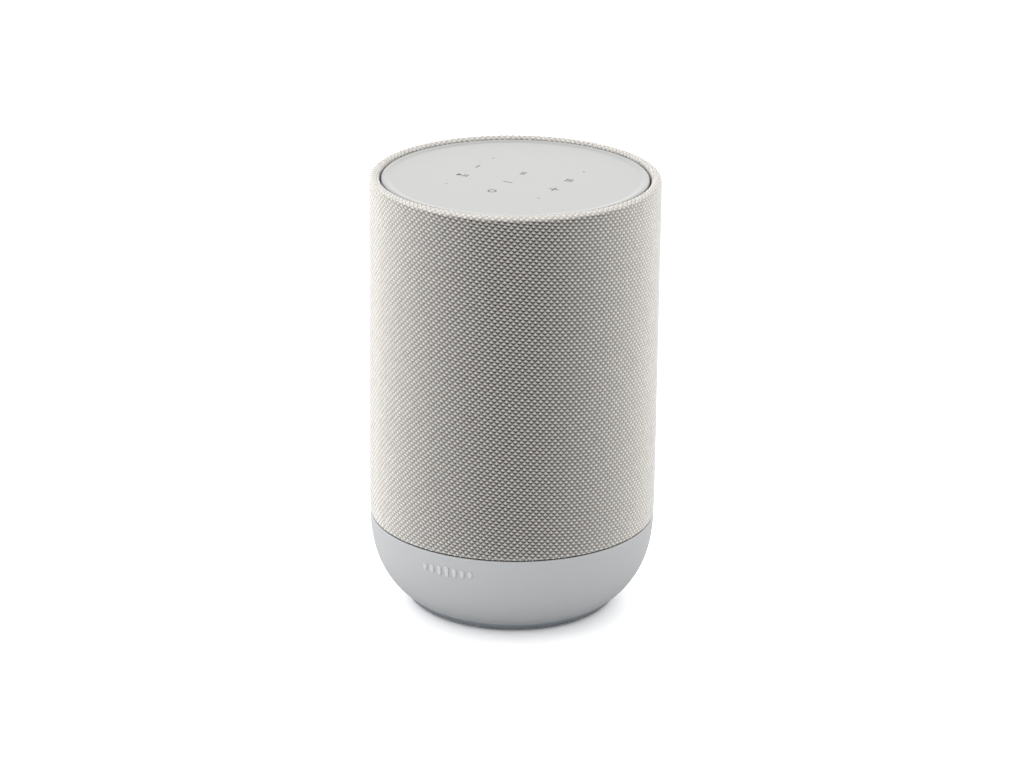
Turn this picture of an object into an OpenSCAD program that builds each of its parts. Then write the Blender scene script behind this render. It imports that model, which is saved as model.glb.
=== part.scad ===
// Table-top smart speaker: a cloth-covered drum that stands on a moulded bowl-shaped base.
// Millimetres, +Z up, front towards -Y. The origin is on the table, under the middle of the drum.

/* [Overall] */
// Diameter over the cloth sleeve
body_d = 140; // [138:1:170]
// Height from the table to the crest of the sleeve's rolled edge
body_h = 216; // [216:1:270]
// Height of the seam between the base and the sleeve
seam_z = 44.6; // [44:0.2:46]

/* [Sleeve and grille] */
// Thickness of the woven sleeve
fabric_t = 1.4; // [1:0.1:2]
// Wall of the slotted tube under the sleeve
grille_t = 2.2; // [1.6:0.1:3]
// Slots round the grille tube
grille_slots = 20; // [12:1:28]
// Rows of slots up the grille tube
grille_rows = 3; // [2:1:5]
// Width of a web between two slots
grille_web = 7; // [4:0.5:12]
// Dark gap under the sleeve's lower edge
seam_gap = 0.6; // [0.4:0.1:1.2]

/* [Base bowl] */
// Radius of the bowl's lower edge
bowl_foot_r = 52.4; // [50:0.2:55]
// Height of the bowl's lower edge above the table
bowl_foot_z = 4.8; // [4.4:0.1:6]
// Height where the bowl's curve runs out into the straight drum
bowl_knee_z = 60.8; // [56:0.2:66]
// Fullness of the bowl's curve
bowl_power = 3.64; // [2.4:0.02:4.4]
// Second power of the curve, which rounds its lower edge
bowl_round = 1.083; // [1:0.001:1.3]
// Wall of the moulded base
shell_wall = 2.6; // [2:0.1:3.6]
// Light-catching chamfer round the top edge of the base
rim_chamfer = 0.5; // [0.2:0.1:0.8]

/* [Foot] */
// Outer radius of the rubber foot
pad_r = 47; // [44:0.5:48]
// Width of the rubber foot's ring
pad_w = 11; // [8:0.5:14]
// Height of the rubber foot
pad_h = 2.4; // [2:0.1:3]
// Height of the metal ring's lower edge above the table
ring_z = 1.2; // [0.8:0.1:1.6]
// Radius of the metal ring's lower edge
ring_low_r = 49.4; // [48.6:0.1:50]

/* [Raised mark] */
// Width of the row of level bars
mark_w = 28; // [20:1:36]
// Height of the tallest bar
mark_h = 5.8; // [4:0.2:8]
// Height of the row's middle above the table
mark_z = 36.2; // [30:0.2:38]
// Number of bars
mark_bars = 7; // [3:2:11]
// How far the bars stand proud
mark_proud = 0.5; // [0.2:0.05:0.8]
// How much shorter the end bars are than the middle one, as a share
mark_fall = 0.45; // [0:0.05:0.7]
// Width of a bar, as a share of the bars' pitch
mark_bar_share = 0.55; // [0.4:0.05:0.7]

/* [Connector bay] */
// Width of the bay in the back of the base
bay_w = 62; // [62:1:78]
// Height of the bay's floor above the table
bay_z = 14; // [13:0.5:15]
// Height of the bay's mouth
bay_h = 26; // [26:0.5:27]
// Depth of the bay at its shallowest corner
bay_depth = 3.5; // [3:0.5:6]
// Thickness of the connector panel
io_panel_t = 2; // [1.6:0.1:3]
// Diameter of the audio jack's bore
jack_bore_d = 3.6; // [3.54:0.02:3.7]
// Depth of the audio jack's bore
jack_depth = 14; // [13:0.5:16]
// Diameter of a press button
button_d = 6.4; // [5:0.2:7.6]
// Travel of a press button
button_travel = 0.8; // [0.4:0.1:1]
// Travel of the microphone switch
switch_travel = 3; // [2:0.5:4]

/* [Woofer] */
// Outer diameter of the woofer's frame
woofer_d = 98; // [80:1:98]
// Radius of the woofer's voice coil former
coil_r = 12.5; // [11:0.5:14]
// Largest excursion of the cone each way
cone_travel = 4; // [2:0.5:4]
// Depth of the woofer's basket behind its flange
basket_depth = 30; // [28:1:36]

/* [Tweeters] */
// Outer diameter of a tweeter's plate
tweeter_d = 40; // [34:1:40]
// Diameter of a tweeter's dome
dome_d = 25; // [19:1:26]
// Angle of each tweeter from straight ahead
tweeter_angle = 50; // [40:1:60]

/* [Cabinet] */
// Wall of the sealed cabinet
cabinet_wall = 3; // [2.4:0.1:4]
// Air between the cabinet and the grille tube
cabinet_gap = 1.4; // [1:0.1:4]

/* [Touch panel] */
// Gap between the touch panel and the sleeve's rolled edge
panel_gap = 0.76; // [0.4:0.02:1.2]
// How far the panel's lip sits below the sleeve's crest
panel_drop = 0.9; // [0.4:0.1:1.6]
// How far the panel's flat field sits below its lip
panel_dish = 0.9; // [0.5:0.1:1.4]
// Width of the panel's raised lip
panel_lip = 3; // [2:0.2:5]
// Thickness of the panel
panel_t = 2; // [1.6:0.1:3]
// Sideways distance of a microphone hole from the middle
mic_x = 24.4; // [20:0.2:36]
// Front-to-back distance of a microphone hole from the middle
mic_y = 24.6; // [20:0.2:36]
// Diameter of a microphone hole
mic_hole_d = 1; // [0.6:0.1:1.6]

/* [Hidden] */
$fn = 72;
EPS = 0.01;

// Colours
SHELL_GREY = "#c9ccce";
PANEL_GREY = "#d9dbd8";
CLOTH_GREY = "#c4beb4";
METAL = "#b8bcc0";
DARK_PLASTIC = "#3a3c3e";
BLACK_RUBBER = "#232425";
BOARD_GREEN = "#2f5d3c";
STEEL = "#8f9396";
GOLD = "#c9a24a";
PAPER_BLACK = "#2b2b2d";

// Drum: the sleeve is outermost, then the grille tube, then the cabinet
body_r = body_d / 2;
grille_out = body_r - fabric_t;
grille_in = grille_out - grille_t;
cab_r = grille_in - cabinet_gap;
bead_r = (fabric_t * 2 + grille_t) / 2;     // rolled top edge of the sleeve, over the tube
bead_z = body_h - bead_r;
hem_r = body_r - 2 * bead_r;                // inside of the tucked hem

// Heights of the stack under the touch panel, from the top down
lip_z = body_h - panel_drop;
field_z = lip_z - panel_dish;
under_z = field_z - panel_t;
gasket_h = 1.2;
board_t = 1.6;
touch_board_z = under_z - gasket_h - board_t;
capsule_h = 1.1;
deck_space = 3.4;
deck_top = touch_board_z - deck_space;
deck_t = 3;
deck_z = deck_top - deck_t;
deck_boss_h = 5;
cab_top = deck_z - deck_boss_h;
panel_r = hem_r - panel_gap;
skirt_w = 2;
touch_board_r = panel_r - skirt_w - 6;

// Heights of the base, from the table up
shell_floor_t = 2.6;
shell_floor = bowl_foot_z + shell_floor_t;
sleeve_z = seam_z + seam_gap;
seam_ring_top = sleeve_z + 1;
seam_ring_in = cab_r - 3.5;
floor_t = 3;
floor_top = seam_ring_top + floor_t;
gasket_t = 1;
cab_z = floor_top + gasket_t;
flange_h = 6;
flange_w = 10;

// Screws: pan-head tapping screws in two sizes
screw_r = 1.4;
screw_head_r = 2.75;
screw_head_h = 2;
small_screw_r = 1.1;
small_head_r = 2.1;
small_head_h = 1.4;
boss_wall = 2.2;
post_circle = pad_r - pad_w / 2 + 0.5;
post_r = 4.5;
post_bore_r = screw_head_r + 0.45;
post_angles = [20, 160, 242, 298];
chassis_seat = seam_z - 6;
foot_angles = [90, 200, 270, 340];
floor_screw_circle = cab_r - flange_w + 3.5;
deck_screw_circle = cab_r - 20;

// Base electronics
power_board_z = shell_floor + 5.6;
power_board_size = [68, 40];
power_board_y = -10;
main_board_size = [64, 52];
main_board_y = -4;
main_board_z = seam_ring_top - 7.2;
stand_r = 3;

// Connector panel: its outer face stays bay_depth inside the bowl at the bay's lower corners
bay_x = bay_w / 2;
bay_top = bay_z + bay_h;
bay_wall = 2;
io_y = sqrt(pow(bowl_r(bay_z), 2) - pow(bay_x, 2)) - bay_depth;
io_back = io_y - io_panel_t;
io_board_y = io_back - 5.8;                 // outer face of the connector board
panel_screw_at = [[-bay_x + 3.5, bay_top - 2.6], [bay_x - 3.5, bay_z + 3]];
panel_boss_l = 5.4;
inlet_at = [-bay_x / 2 - 0.5, bay_z + bay_h / 2];
inlet_size = [22, 14];
inlet_depth = 17;
socket_r = 4.2;
pin_pitch = 8.6;
pin_r = 1.2;
jack_at = [4, bay_z + 7];
usb_at = [19, bay_z + 7];
usb_size = [9.6, 3.9];
usb_wall = 0.45;
pair_at = [3, bay_top - 7];
connect_at = [13, bay_top - 7];
switch_at = [23, bay_top - 7];
light_at = [11.5, bay_z + 12.6];
light_r = 1.2;
clearance = 0.3;
button_r = button_d / 2;
button_proud = 0.8;
button_flange = 1;
switch_cap = [3.4, 3];

// Woofer, in its own frame: z is the distance in front of the baffle, on the cone's axis
woofer_r = woofer_d / 2;
woofer_flange_t = 3;
woofer_stack = gasket_t + woofer_flange_t;
baffle_t = 4;
woofer_z = cab_z + flange_h + woofer_r + 0.4;
baffle_y = -sqrt(pow(grille_in - 1, 2) - pow(woofer_r + 0.5, 2)) + woofer_stack;
frame_neck_r = woofer_r - 9;                // basket where it passes the baffle
ledge_r = woofer_r - 5.5;                   // seat of the surround
cone_r = woofer_r - 14.1;
roll_r = 2.7;
surround_t = 0.6;
coil_wire_t = 0.3;
magnet_r = basket_depth;
plate_r = magnet_r - 2;
woofer_screw_circle = woofer_r - 2.8;
spider_z = -basket_depth + 8;
cone_low = -basket_depth + 12;
plate_t = 4;
magnet_t = 12;
yoke_t = 5;

// Tweeters, each in its own frame, with z pointing outwards from its facet
tweeter_r = tweeter_d / 2;
dome_r = dome_d / 2;
tweeter_plate_t = 2.5;
tweeter_plane = sqrt(pow(grille_in - 2, 2) - pow(tweeter_r + clearance, 2)) - tweeter_plate_t;
tweeter_z = cab_top - tweeter_r - 1;
tweeter_zone = tweeter_z - tweeter_r - 1;
tweeter_screw_circle = tweeter_r - 2.3;
dome_travel = 0.3;
motor_r = dome_r + 2.6;
motor_h = 13;
boss_l = 9;

// Radius of the base and the sleeve's lower end at height z: a superellipse from the foot to the knee
function bowl_r(z) = z >= bowl_knee_z ? body_r :
    bowl_foot_r + (body_r - bowl_foot_r)
    * pow(1 - pow((bowl_knee_z - z) / (bowl_knee_z - bowl_foot_z), bowl_power), 1 / bowl_round);

// Heights between two levels, closer together near the lower one
function levels(low, high, count, crowd) = [for (i = [0 : count]) low + (high - low) * pow(i / count, crowd)];

// Points of an arc, from angle a to angle b
function arc(cx, cz, r, a, b, count) =
    [for (i = [0 : count]) let (t = a + (b - a) * i / count) [cx + r * cos(t), cz + r * sin(t)]];

function back_to_front(list) = [for (i = [len(list) - 1 : -1 : 0]) list[i]];

bowl_levels = levels(bowl_foot_z, seam_z - rim_chamfer, 22, 1.7);

module ring(r_out, r_in, h) {
    difference() {
        cylinder(r = r_out, h = h);
        translate([0, 0, -1]) cylinder(r = r_in, h = h + 2);
    }
}

// Places its children on a circle, turned to each angle
module around(radius, angles) {
    for (a = angles) rotate([0, 0, a]) translate([radius, 0, 0]) children();
}

// Pan-head screw with its head above z = 0 and its shank below
module screw(shank_r, head_r, head_h, length) {
    difference() {
        union() {
            translate([0, 0, -length]) cylinder(r = shank_r, h = length + EPS);
            cylinder(r = head_r, h = head_h);
        }
        for (a = [0, 90]) rotate([0, 0, a])
            translate([-head_r * 0.55, -0.35, head_h - 0.7]) cube([head_r * 1.1, 0.7, 1]);
    }
}

module case_screw(length) screw(screw_r, screw_head_r, screw_head_h, length);
module small_screw(length) screw(small_screw_r, small_head_r, small_head_h, length);

// Places its children on the connector panel: local z points out of the bay, from the plane y
module on_panel(at, y = io_y) translate([at[0], y, at[1]]) rotate([-90, 0, 0]) children();

// Places its children on the woofer's axis or on a tweeter's axis, with local z pointing out
module at_woofer() translate([0, baffle_y, woofer_z]) rotate([90, 0, 0]) children();
module at_tweeter(side) rotate([0, 0, side * tweeter_angle])
    translate([0, -tweeter_plane, tweeter_z]) rotate([90, 0, 0]) children();

// Closed stadium of total size [w, h] and thickness t
module stadium(size, t) {
    for (s = [-1, 1]) translate([s * (size[0] - size[1]) / 2, 0, 0]) cylinder(d = size[1], h = t);
    translate([-(size[0] - size[1]) / 2, -size[1] / 2, 0]) cube([size[0] - size[1], size[1], t]);
}

// ---- Foot ----

module foot_pad() {
    edge = 0.4;
    color(BLACK_RUBBER) rotate_extrude() polygon([
        [pad_r - pad_w + edge, 0], [pad_r - edge, 0], [pad_r, edge],
        [pad_r, pad_h], [pad_r - pad_w, pad_h], [pad_r - pad_w, edge]]);
}

module foot_ring() {
    ring_in = pad_r + 0.2;
    color(METAL) rotate_extrude() polygon([
        [ring_in, ring_z], [ring_low_r, ring_z], [bowl_foot_r - 0.5, bowl_foot_z - 0.3],
        [bowl_foot_r - 0.5, bowl_foot_z], [ring_in, bowl_foot_z]]);
}

module foot_plate() {
    color(DARK_PLASTIC) difference() {
        translate([0, 0, pad_h]) cylinder(r = pad_r + 0.2, h = bowl_foot_z - pad_h);
        around(post_circle, post_angles) cylinder(r = post_bore_r, h = shell_floor);
        around(post_circle, foot_angles) {
            cylinder(r = screw_r, h = shell_floor);
            cylinder(r = screw_head_r, h = bowl_foot_z - 0.4);
        }
    }
}

// ---- Base ----

module bowl_solid(inset, low, high) {
    points = [for (z = levels(low, high, 22, 1.7)) [bowl_r(z) - inset, z]];
    rotate_extrude() polygon(concat([[0, low]], points, [[0, high]]));
}

module base_shell() {
    outer = [for (z = bowl_levels) [bowl_r(z), z]];
    inner = [for (z = levels(shell_floor, seam_z, 18, 1.5)) [bowl_r(z) - shell_wall, z]];
    color(SHELL_GREY) difference() {
        union() {
            rotate_extrude() polygon(concat(
                [[0, bowl_foot_z]], outer, [[bowl_r(seam_z) - rim_chamfer, seam_z]],
                back_to_front(inner), [[0, shell_floor]]));
            intersection() {
                translate([-bay_x - bay_wall, io_back - bay_wall, bay_z - bay_wall])
                    cube([bay_w + 2 * bay_wall, body_r, bay_h + 2 * bay_wall]);
                bowl_solid(0.2, bowl_foot_z, seam_z - rim_chamfer);
            }
            for (at = panel_screw_at)
                on_panel(at, io_back - panel_boss_l) cylinder(r = small_screw_r + boss_wall, h = panel_boss_l);
            around(post_circle, post_angles)
                translate([0, 0, bowl_foot_z + 1]) cylinder(r = post_r, h = seam_ring_top - bowl_foot_z - 1);
            around(post_circle, foot_angles)
                translate([0, 0, bowl_foot_z + 1]) cylinder(r = screw_r + boss_wall, h = 7);
            power_stands();
        }
        translate([-bay_x, io_back, bay_z]) cube([bay_w, body_r, bay_h]);
        difference() {
            translate([-bay_x + 2, io_back - bay_wall - 1, bay_z + 2])
                cube([bay_w - 4, bay_wall + 2, bay_h - 4]);
            for (at = panel_screw_at) on_panel(at, io_back - panel_boss_l)
                cylinder(r = small_screw_r + boss_wall, h = panel_boss_l);
        }
        for (at = panel_screw_at) on_panel(at, io_back - panel_boss_l + 0.6)
            cylinder(r = small_screw_r, h = panel_boss_l);
        around(post_circle, post_angles) {
            cylinder(r = post_bore_r, h = chassis_seat);
            cylinder(r = screw_r, h = body_h / 2);
        }
        around(post_circle, foot_angles) cylinder(r = screw_r, h = bowl_foot_z + 7);
        for (at = board_corners(power_board_size, power_board_y))
            translate([at[0], at[1], shell_floor]) cylinder(r = small_screw_r, h = power_board_z);
    }
}

// The four screw places of a board of this size, whose middle is at y
function board_corners(size, y) =
    [for (sx = [-1, 1], sy = [-1, 1]) [sx * (size[0] / 2 - 4), y + sy * (size[1] / 2 - 4)]];

module power_stands() {
    for (at = board_corners(power_board_size, power_board_y))
        translate([at[0], at[1], bowl_foot_z + 1]) cylinder(r = stand_r, h = power_board_z - bowl_foot_z - 1);
}

// Row of upright bars that rise to the middle, like a sound level, wrapped on the bowl
module front_mark() {
    pitch = mark_w / mark_bars;
    bar_w = pitch * mark_bar_share;
    skin = concat([for (z = bowl_levels) [bowl_r(z), z]],
                  back_to_front([for (z = bowl_levels) [bowl_r(z) + mark_proud, z]]));
    color(SHELL_GREY) intersection() {
        rotate_extrude() polygon(skin);
        for (i = [0 : mark_bars - 1]) {
            from_middle = abs(i - (mark_bars - 1) / 2) / ((mark_bars - 1) / 2);
            bar_h = mark_h * (1 - mark_fall * from_middle);
            translate([(i - (mark_bars - 1) / 2) * pitch, -body_r / 2, mark_z]) rotate([90, 0, 0]) {
                translate([-bar_w / 2, -(bar_h - bar_w) / 2, 0]) cube([bar_w, bar_h - bar_w, body_r]);
                for (s = [-1, 1]) translate([0, s * (bar_h - bar_w) / 2, 0]) cylinder(d = bar_w, h = body_r);
            }
        }
    }
}

// ---- Connector bay ----

module io_panel() {
    color(DARK_PLASTIC) difference() {
        translate([-bay_x, io_back, bay_z]) cube([bay_w, io_panel_t, bay_h]);
        translate([inlet_at[0] - inlet_size[0] / 2, io_back - 1, inlet_at[1] - inlet_size[1] / 2])
            cube([inlet_size[0], io_panel_t + 2, inlet_size[1]]);
        on_panel(usb_at, io_back - 1) stadium(usb_size, io_panel_t + 2);
        on_panel(jack_at, io_back - 1) cylinder(r = 4, h = io_panel_t + 2);
        on_panel(light_at, io_back - 1) cylinder(r = light_r, h = io_panel_t + 2);
        for (at = [pair_at, connect_at])
            on_panel(at, io_back - 1) cylinder(r = button_r + clearance, h = io_panel_t + 2);
        translate([switch_at[0] - (switch_cap[0] + switch_travel) / 2 - clearance, io_back - 1,
                   switch_at[1] - switch_cap[1] / 2 - clearance])
            cube([switch_cap[0] + switch_travel + 2 * clearance, io_panel_t + 2,
                  switch_cap[1] + 2 * clearance]);
        for (at = panel_screw_at) on_panel(at, io_back - 1) cylinder(r = small_screw_r, h = io_panel_t + 2);
    }
}

module panel_screws() {
    color(STEEL) for (at = panel_screw_at) on_panel(at) small_screw(io_panel_t + panel_boss_l - 1);
}

// Two-pole appliance inlet: a block with a figure-of-eight socket
module power_inlet() {
    socket_depth = 12;
    color(PAPER_BLACK) on_panel(inlet_at, io_y - inlet_depth) difference() {
        translate([-inlet_size[0] / 2, -inlet_size[1] / 2, 0])
            cube([inlet_size[0], inlet_size[1], inlet_depth]);
        translate([0, 0, inlet_depth - socket_depth]) {
            for (s = [-1, 1]) translate([s * pin_pitch / 2, 0, 0])
                cylinder(r = socket_r, h = socket_depth + 1);
            translate([-pin_pitch / 2, -socket_r + 0.5, 0])
                cube([pin_pitch, 2 * socket_r - 1, socket_depth + 1]);
        }
        for (s = [-1, 1]) translate([s * pin_pitch / 2, 0, 2]) cylinder(r = pin_r, h = inlet_depth);
    }
}

module inlet_pins() {
    color(METAL) on_panel(inlet_at, io_y - inlet_depth)
        for (s = [-1, 1]) translate([s * pin_pitch / 2, 0, 2]) {
            cylinder(r = pin_r, h = inlet_depth - 4.5);
            translate([0, 0, inlet_depth - 4.5]) sphere(r = pin_r);
        }
}

module usb_port() {
    inner = [usb_size[0] - 2 * usb_wall, usb_size[1] - 2 * usb_wall];
    color(METAL) on_panel(usb_at, io_board_y) difference() {
        stadium(usb_size, io_y - io_board_y);
        translate([0, 0, 1]) stadium(inner, io_y - io_board_y);
    }
}

module usb_tongue() {
    color(PAPER_BLACK) on_panel(usb_at, io_board_y + 1)
        translate([-3.3, -0.35, 0]) cube([6.6, 0.7, io_y - io_board_y - 2]);
}

module aux_jack() {
    color(PAPER_BLACK) on_panel(jack_at, io_y - jack_depth - 1.2) difference() {
        cylinder(r = 4, h = jack_depth + 1.2);
        translate([0, 0, 1.2]) cylinder(d = jack_bore_d, h = jack_depth + 1);
    }
}

// Round cap that passes through the panel, with a flange behind it that keeps it in
module press_button(at) {
    on_panel(at, io_back - clearance - button_flange) {
        cylinder(r = button_r + 1, h = button_flange);
        cylinder(r = button_r, h = button_flange + clearance + io_panel_t + button_proud - 0.3);
        cylinder(r = button_r - 0.3, h = button_flange + clearance + io_panel_t + button_proud);
    }
}

module pair_button() color(SHELL_GREY) press_button(pair_at);
module connect_button() color(SHELL_GREY) press_button(connect_at);

module mic_switch() {
    left = switch_at[0] - (switch_cap[0] + switch_travel) / 2;
    low = switch_at[1] - switch_cap[1] / 2;
    color(SHELL_GREY) difference() {
        union() {
            translate([left, io_back - clearance - button_flange, low])
                cube([switch_cap[0], button_flange + clearance + io_panel_t + button_proud, switch_cap[1]]);
            translate([left - 1, io_back - clearance - button_flange, low - 1])
                cube([switch_cap[0] + 2, button_flange, switch_cap[1] + 2]);
        }
        for (i = [-1 : 1])
            translate([left + switch_cap[0] / 2 + i * 0.9 - 0.2, io_y + button_proud - 0.3, low - 1])
            cube([0.4, 1, switch_cap[1] + 2]);
    }
}

module status_light() {
    color("#e8eef0") on_panel(light_at, io_board_y) cylinder(r = light_r, h = io_y - io_board_y);
}

module io_board() {
    color(BOARD_GREEN) difference() {
        translate([-1, io_board_y - board_t, bay_z + 1]) cube([bay_x - 3.5, board_t, bay_h - 2]);
        on_panel(jack_at, io_board_y - board_t - 1) cylinder(r = 4, h = board_t + 2);
    }
}

// Tact switches behind the buttons, and the slide switch's body
module switch_bodies() {
    plunger_gap = clearance + button_flange + button_travel + 0.1;
    h = io_back - io_board_y - plunger_gap;
    color(PAPER_BLACK) {
        for (at = [pair_at, connect_at]) on_panel(at, io_board_y) {
            translate([-3, -3, 0]) cube([6, 6, h - 0.6]);
            cylinder(r = 1.6, h = h);
        }
        on_panel(switch_at, io_board_y) translate([-4.2, -3, 0]) cube([8.4, 6, h]);
    }
}

// ---- Electronics in the base ----

module drilled_board(size, y, z) {
    difference() {
        translate([-size[0] / 2, y - size[1] / 2, z]) cube([size[0], size[1], board_t]);
        for (at = board_corners(size, y)) translate([at[0], at[1], z - 1])
            cylinder(r = small_screw_r, h = board_t + 2);
    }
}

module power_board() color(BOARD_GREEN) drilled_board(power_board_size, power_board_y, power_board_z);
module main_board() color(BOARD_GREEN) drilled_board(main_board_size, main_board_y, main_board_z);

module transformer() {
    top = power_board_z + board_t;
    color(GOLD) {
        translate([-22, power_board_y - 9, top]) cube([24, 18, 4]);
        translate([-19, power_board_y - 6, top + 4]) cube([18, 12, 9]);
        translate([-22, power_board_y - 9, top + 13]) cube([24, 18, 4]);
    }
}

module capacitors() {
    color("#27313f") for (dy = [-9, 7]) translate([11, power_board_y + dy, power_board_z + board_t])
        cylinder(r = 6.5, h = 18);
}

module heat_sink() {
    color(METAL) translate([20, power_board_y - 13, power_board_z + board_t]) {
        cube([2, 26, 16]);
        for (i = [0 : 5]) translate([1, i * 4.8, 0]) cube([6, 2, 16]);
    }
}

module wifi_module() {
    color(METAL) translate([-26, main_board_y - 8, main_board_z - 2.6]) cube([22, 16, 2.6]);
}

module amp_chips() {
    color(PAPER_BLACK) for (i = [0 : 2])
        translate([4 + i * 8.5, main_board_y - 4 + (i % 2) * 6, main_board_z - 1.5]) cube([7, 7, 1.5]);
}

module board_screws() {
    color(STEEL) {
        for (at = board_corners(power_board_size, power_board_y))
            translate([at[0], at[1], power_board_z + board_t]) small_screw(5);
        for (at = board_corners(main_board_size, main_board_y))
            translate([at[0], at[1], main_board_z]) rotate([180, 0, 0]) small_screw(5);
        for (a = [45 : 90 : 315]) rotate([0, 0, a])
            translate([touch_board_r - 5, 0, touch_board_z + board_t]) intersection() {
                small_screw(4);
                translate([0, 0, -10]) cylinder(r = small_head_r, h = 10 + gasket_h);
            }
    }
}

// Long screws, from inside the base's hollow posts up into the cabinet's floor
module chassis_screws() {
    color(STEEL) around(post_circle, post_angles)
        translate([0, 0, chassis_seat]) rotate([180, 0, 0]) case_screw(floor_top + 4 - chassis_seat);
}

module case_screws() {
    color(STEEL) {
        around(post_circle, foot_angles)
            translate([0, 0, bowl_foot_z - 0.4]) rotate([180, 0, 0]) difference() {
                case_screw(6);
                translate([-5, -5, bowl_foot_z - 0.4 - pad_h]) cube([10, 10, 5]);
            }
        around(floor_screw_circle, [30 : 60 : 330])
            translate([0, 0, seam_ring_top]) rotate([180, 0, 0]) case_screw(floor_t + gasket_t + 4.5);
        around(deck_screw_circle, [45 : 90 : 315]) translate([0, 0, deck_top]) case_screw(deck_t + 6);
    }
}

// ---- Cabinet ----

module seam_ring() {
    color(BLACK_RUBBER) rotate_extrude() polygon([
        [seam_ring_in, seam_z], [body_r - 1, seam_z], [body_r - 1, sleeve_z],
        [grille_out, sleeve_z], [grille_out, seam_ring_top], [seam_ring_in, seam_ring_top]]);
}

module cabinet_floor() {
    color(DARK_PLASTIC) difference() {
        union() {
            translate([0, 0, seam_ring_top]) cylinder(r = cab_r, h = floor_t);
            around(post_circle, post_angles)
                translate([0, 0, floor_top - 1]) cylinder(r = screw_r + boss_wall, h = 7);
            for (at = board_corners(main_board_size, main_board_y))
                translate([at[0], at[1], main_board_z + board_t])
                    cylinder(r = stand_r, h = seam_ring_top - main_board_z - board_t + 1);
        }
        around(post_circle, post_angles) cylinder(r = screw_r, h = floor_top + 4.5);
        around(floor_screw_circle, [30 : 60 : 330]) cylinder(r = screw_r, h = body_h / 2);
        for (at = board_corners(main_board_size, main_board_y))
            translate([at[0], at[1], main_board_z]) cylinder(r = small_screw_r, h = 5);
    }
}

module floor_gasket() {
    color(BLACK_RUBBER) difference() {
        translate([0, 0, floor_top]) ring(cab_r, cab_r - flange_w, gasket_t);
        around(floor_screw_circle, [30 : 60 : 330]) cylinder(r = screw_r, h = body_h / 2);
    }
}

// Drum with a flat front for the woofer and two angled facets for the tweeters, shrunk by inset
module cabinet_solid(inset, front_inset, low, high) {
    intersection() {
        translate([0, 0, low]) cylinder(r = cab_r - inset, h = tweeter_zone + inset / 2 - low);
        translate([-body_r, baffle_y + front_inset, 0]) cube([body_d, body_d, body_h]);
    }
    difference() {
        translate([0, 0, tweeter_zone + inset / 2 - EPS])
            cylinder(r = cab_r - inset, h = high - tweeter_zone - inset / 2 + EPS);
        for (side = [-1, 1]) rotate([0, 0, side * tweeter_angle])
            translate([-body_r, -tweeter_plane + inset - body_d, 0]) cube([body_d, body_d, body_h]);
    }
}

module cabinet() {
    color(DARK_PLASTIC) difference() {
        union() {
            difference() {
                union() {
                    translate([0, 0, cab_z]) cylinder(r = cab_r, h = flange_h);
                    cabinet_solid(0, 0, cab_z + flange_h - EPS, cab_top);
                    around(deck_screw_circle, [45 : 90 : 315])
                        translate([0, 0, cab_top - 1]) cylinder(r = screw_r + boss_wall, h = deck_boss_h + 1);
                }
                cabinet_solid(cabinet_wall, baffle_t, cab_z + flange_h - 2 * EPS, cab_top - cabinet_wall);
                translate([0, 0, cab_z - 1]) cylinder(r = cab_r - flange_w, h = flange_h + 2);
            }
            at_woofer() around(woofer_screw_circle, [45 : 90 : 315])
                translate([0, 0, -boss_l]) cylinder(r = small_screw_r + boss_wall, h = boss_l);
            for (side = [-1, 1]) at_tweeter(side) around(tweeter_screw_circle, [0, 180])
                translate([0, 0, -boss_l]) cylinder(r = small_screw_r + boss_wall, h = boss_l);
            at_woofer() translate([0, 0, -baffle_t]) cylinder(r = woofer_r, h = baffle_t);
        }
        at_woofer() {
            translate([0, 0, -basket_depth]) cylinder(r = frame_neck_r + 0.6, h = basket_depth + 1);
            around(woofer_screw_circle, [45 : 90 : 315])
                translate([0, 0, 1 - boss_l]) cylinder(r = small_screw_r, h = boss_l);
        }
        for (side = [-1, 1]) at_tweeter(side) {
            translate([0, 0, -motor_h - 1]) cylinder(r = motor_r + 0.4, h = motor_h + 2);
            around(tweeter_screw_circle, [0, 180])
                translate([0, 0, 1 - boss_l]) cylinder(r = small_screw_r, h = boss_l);
        }
        around(floor_screw_circle, [30 : 60 : 330]) cylinder(r = screw_r, h = cab_z + 4.5);
        around(deck_screw_circle, [45 : 90 : 315])
            translate([0, 0, cab_top - 1]) cylinder(r = screw_r, h = body_h);
    }
}

// Sheet of wadding against the back wall of the cabinet
module damping_pad() {
    pad_t = 10;
    low = cab_z + flange_h + 4;
    color("#b9b4a8") intersection() {
        translate([0, 0, low])
            ring(cab_r - cabinet_wall, cab_r - cabinet_wall - pad_t, cab_top - cabinet_wall - 4 - low);
        translate([-body_r, cab_r / 3, 0]) cube([body_d, body_d, body_h]);
    }
}

// ---- Woofer ----

module woofer_gasket() {
    color(BLACK_RUBBER) at_woofer() difference() {
        ring(woofer_r, frame_neck_r + 1, gasket_t);
        around(woofer_screw_circle, [45 : 90 : 315]) translate([0, 0, -1]) cylinder(r = small_screw_r, h = 4);
    }
}

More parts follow.
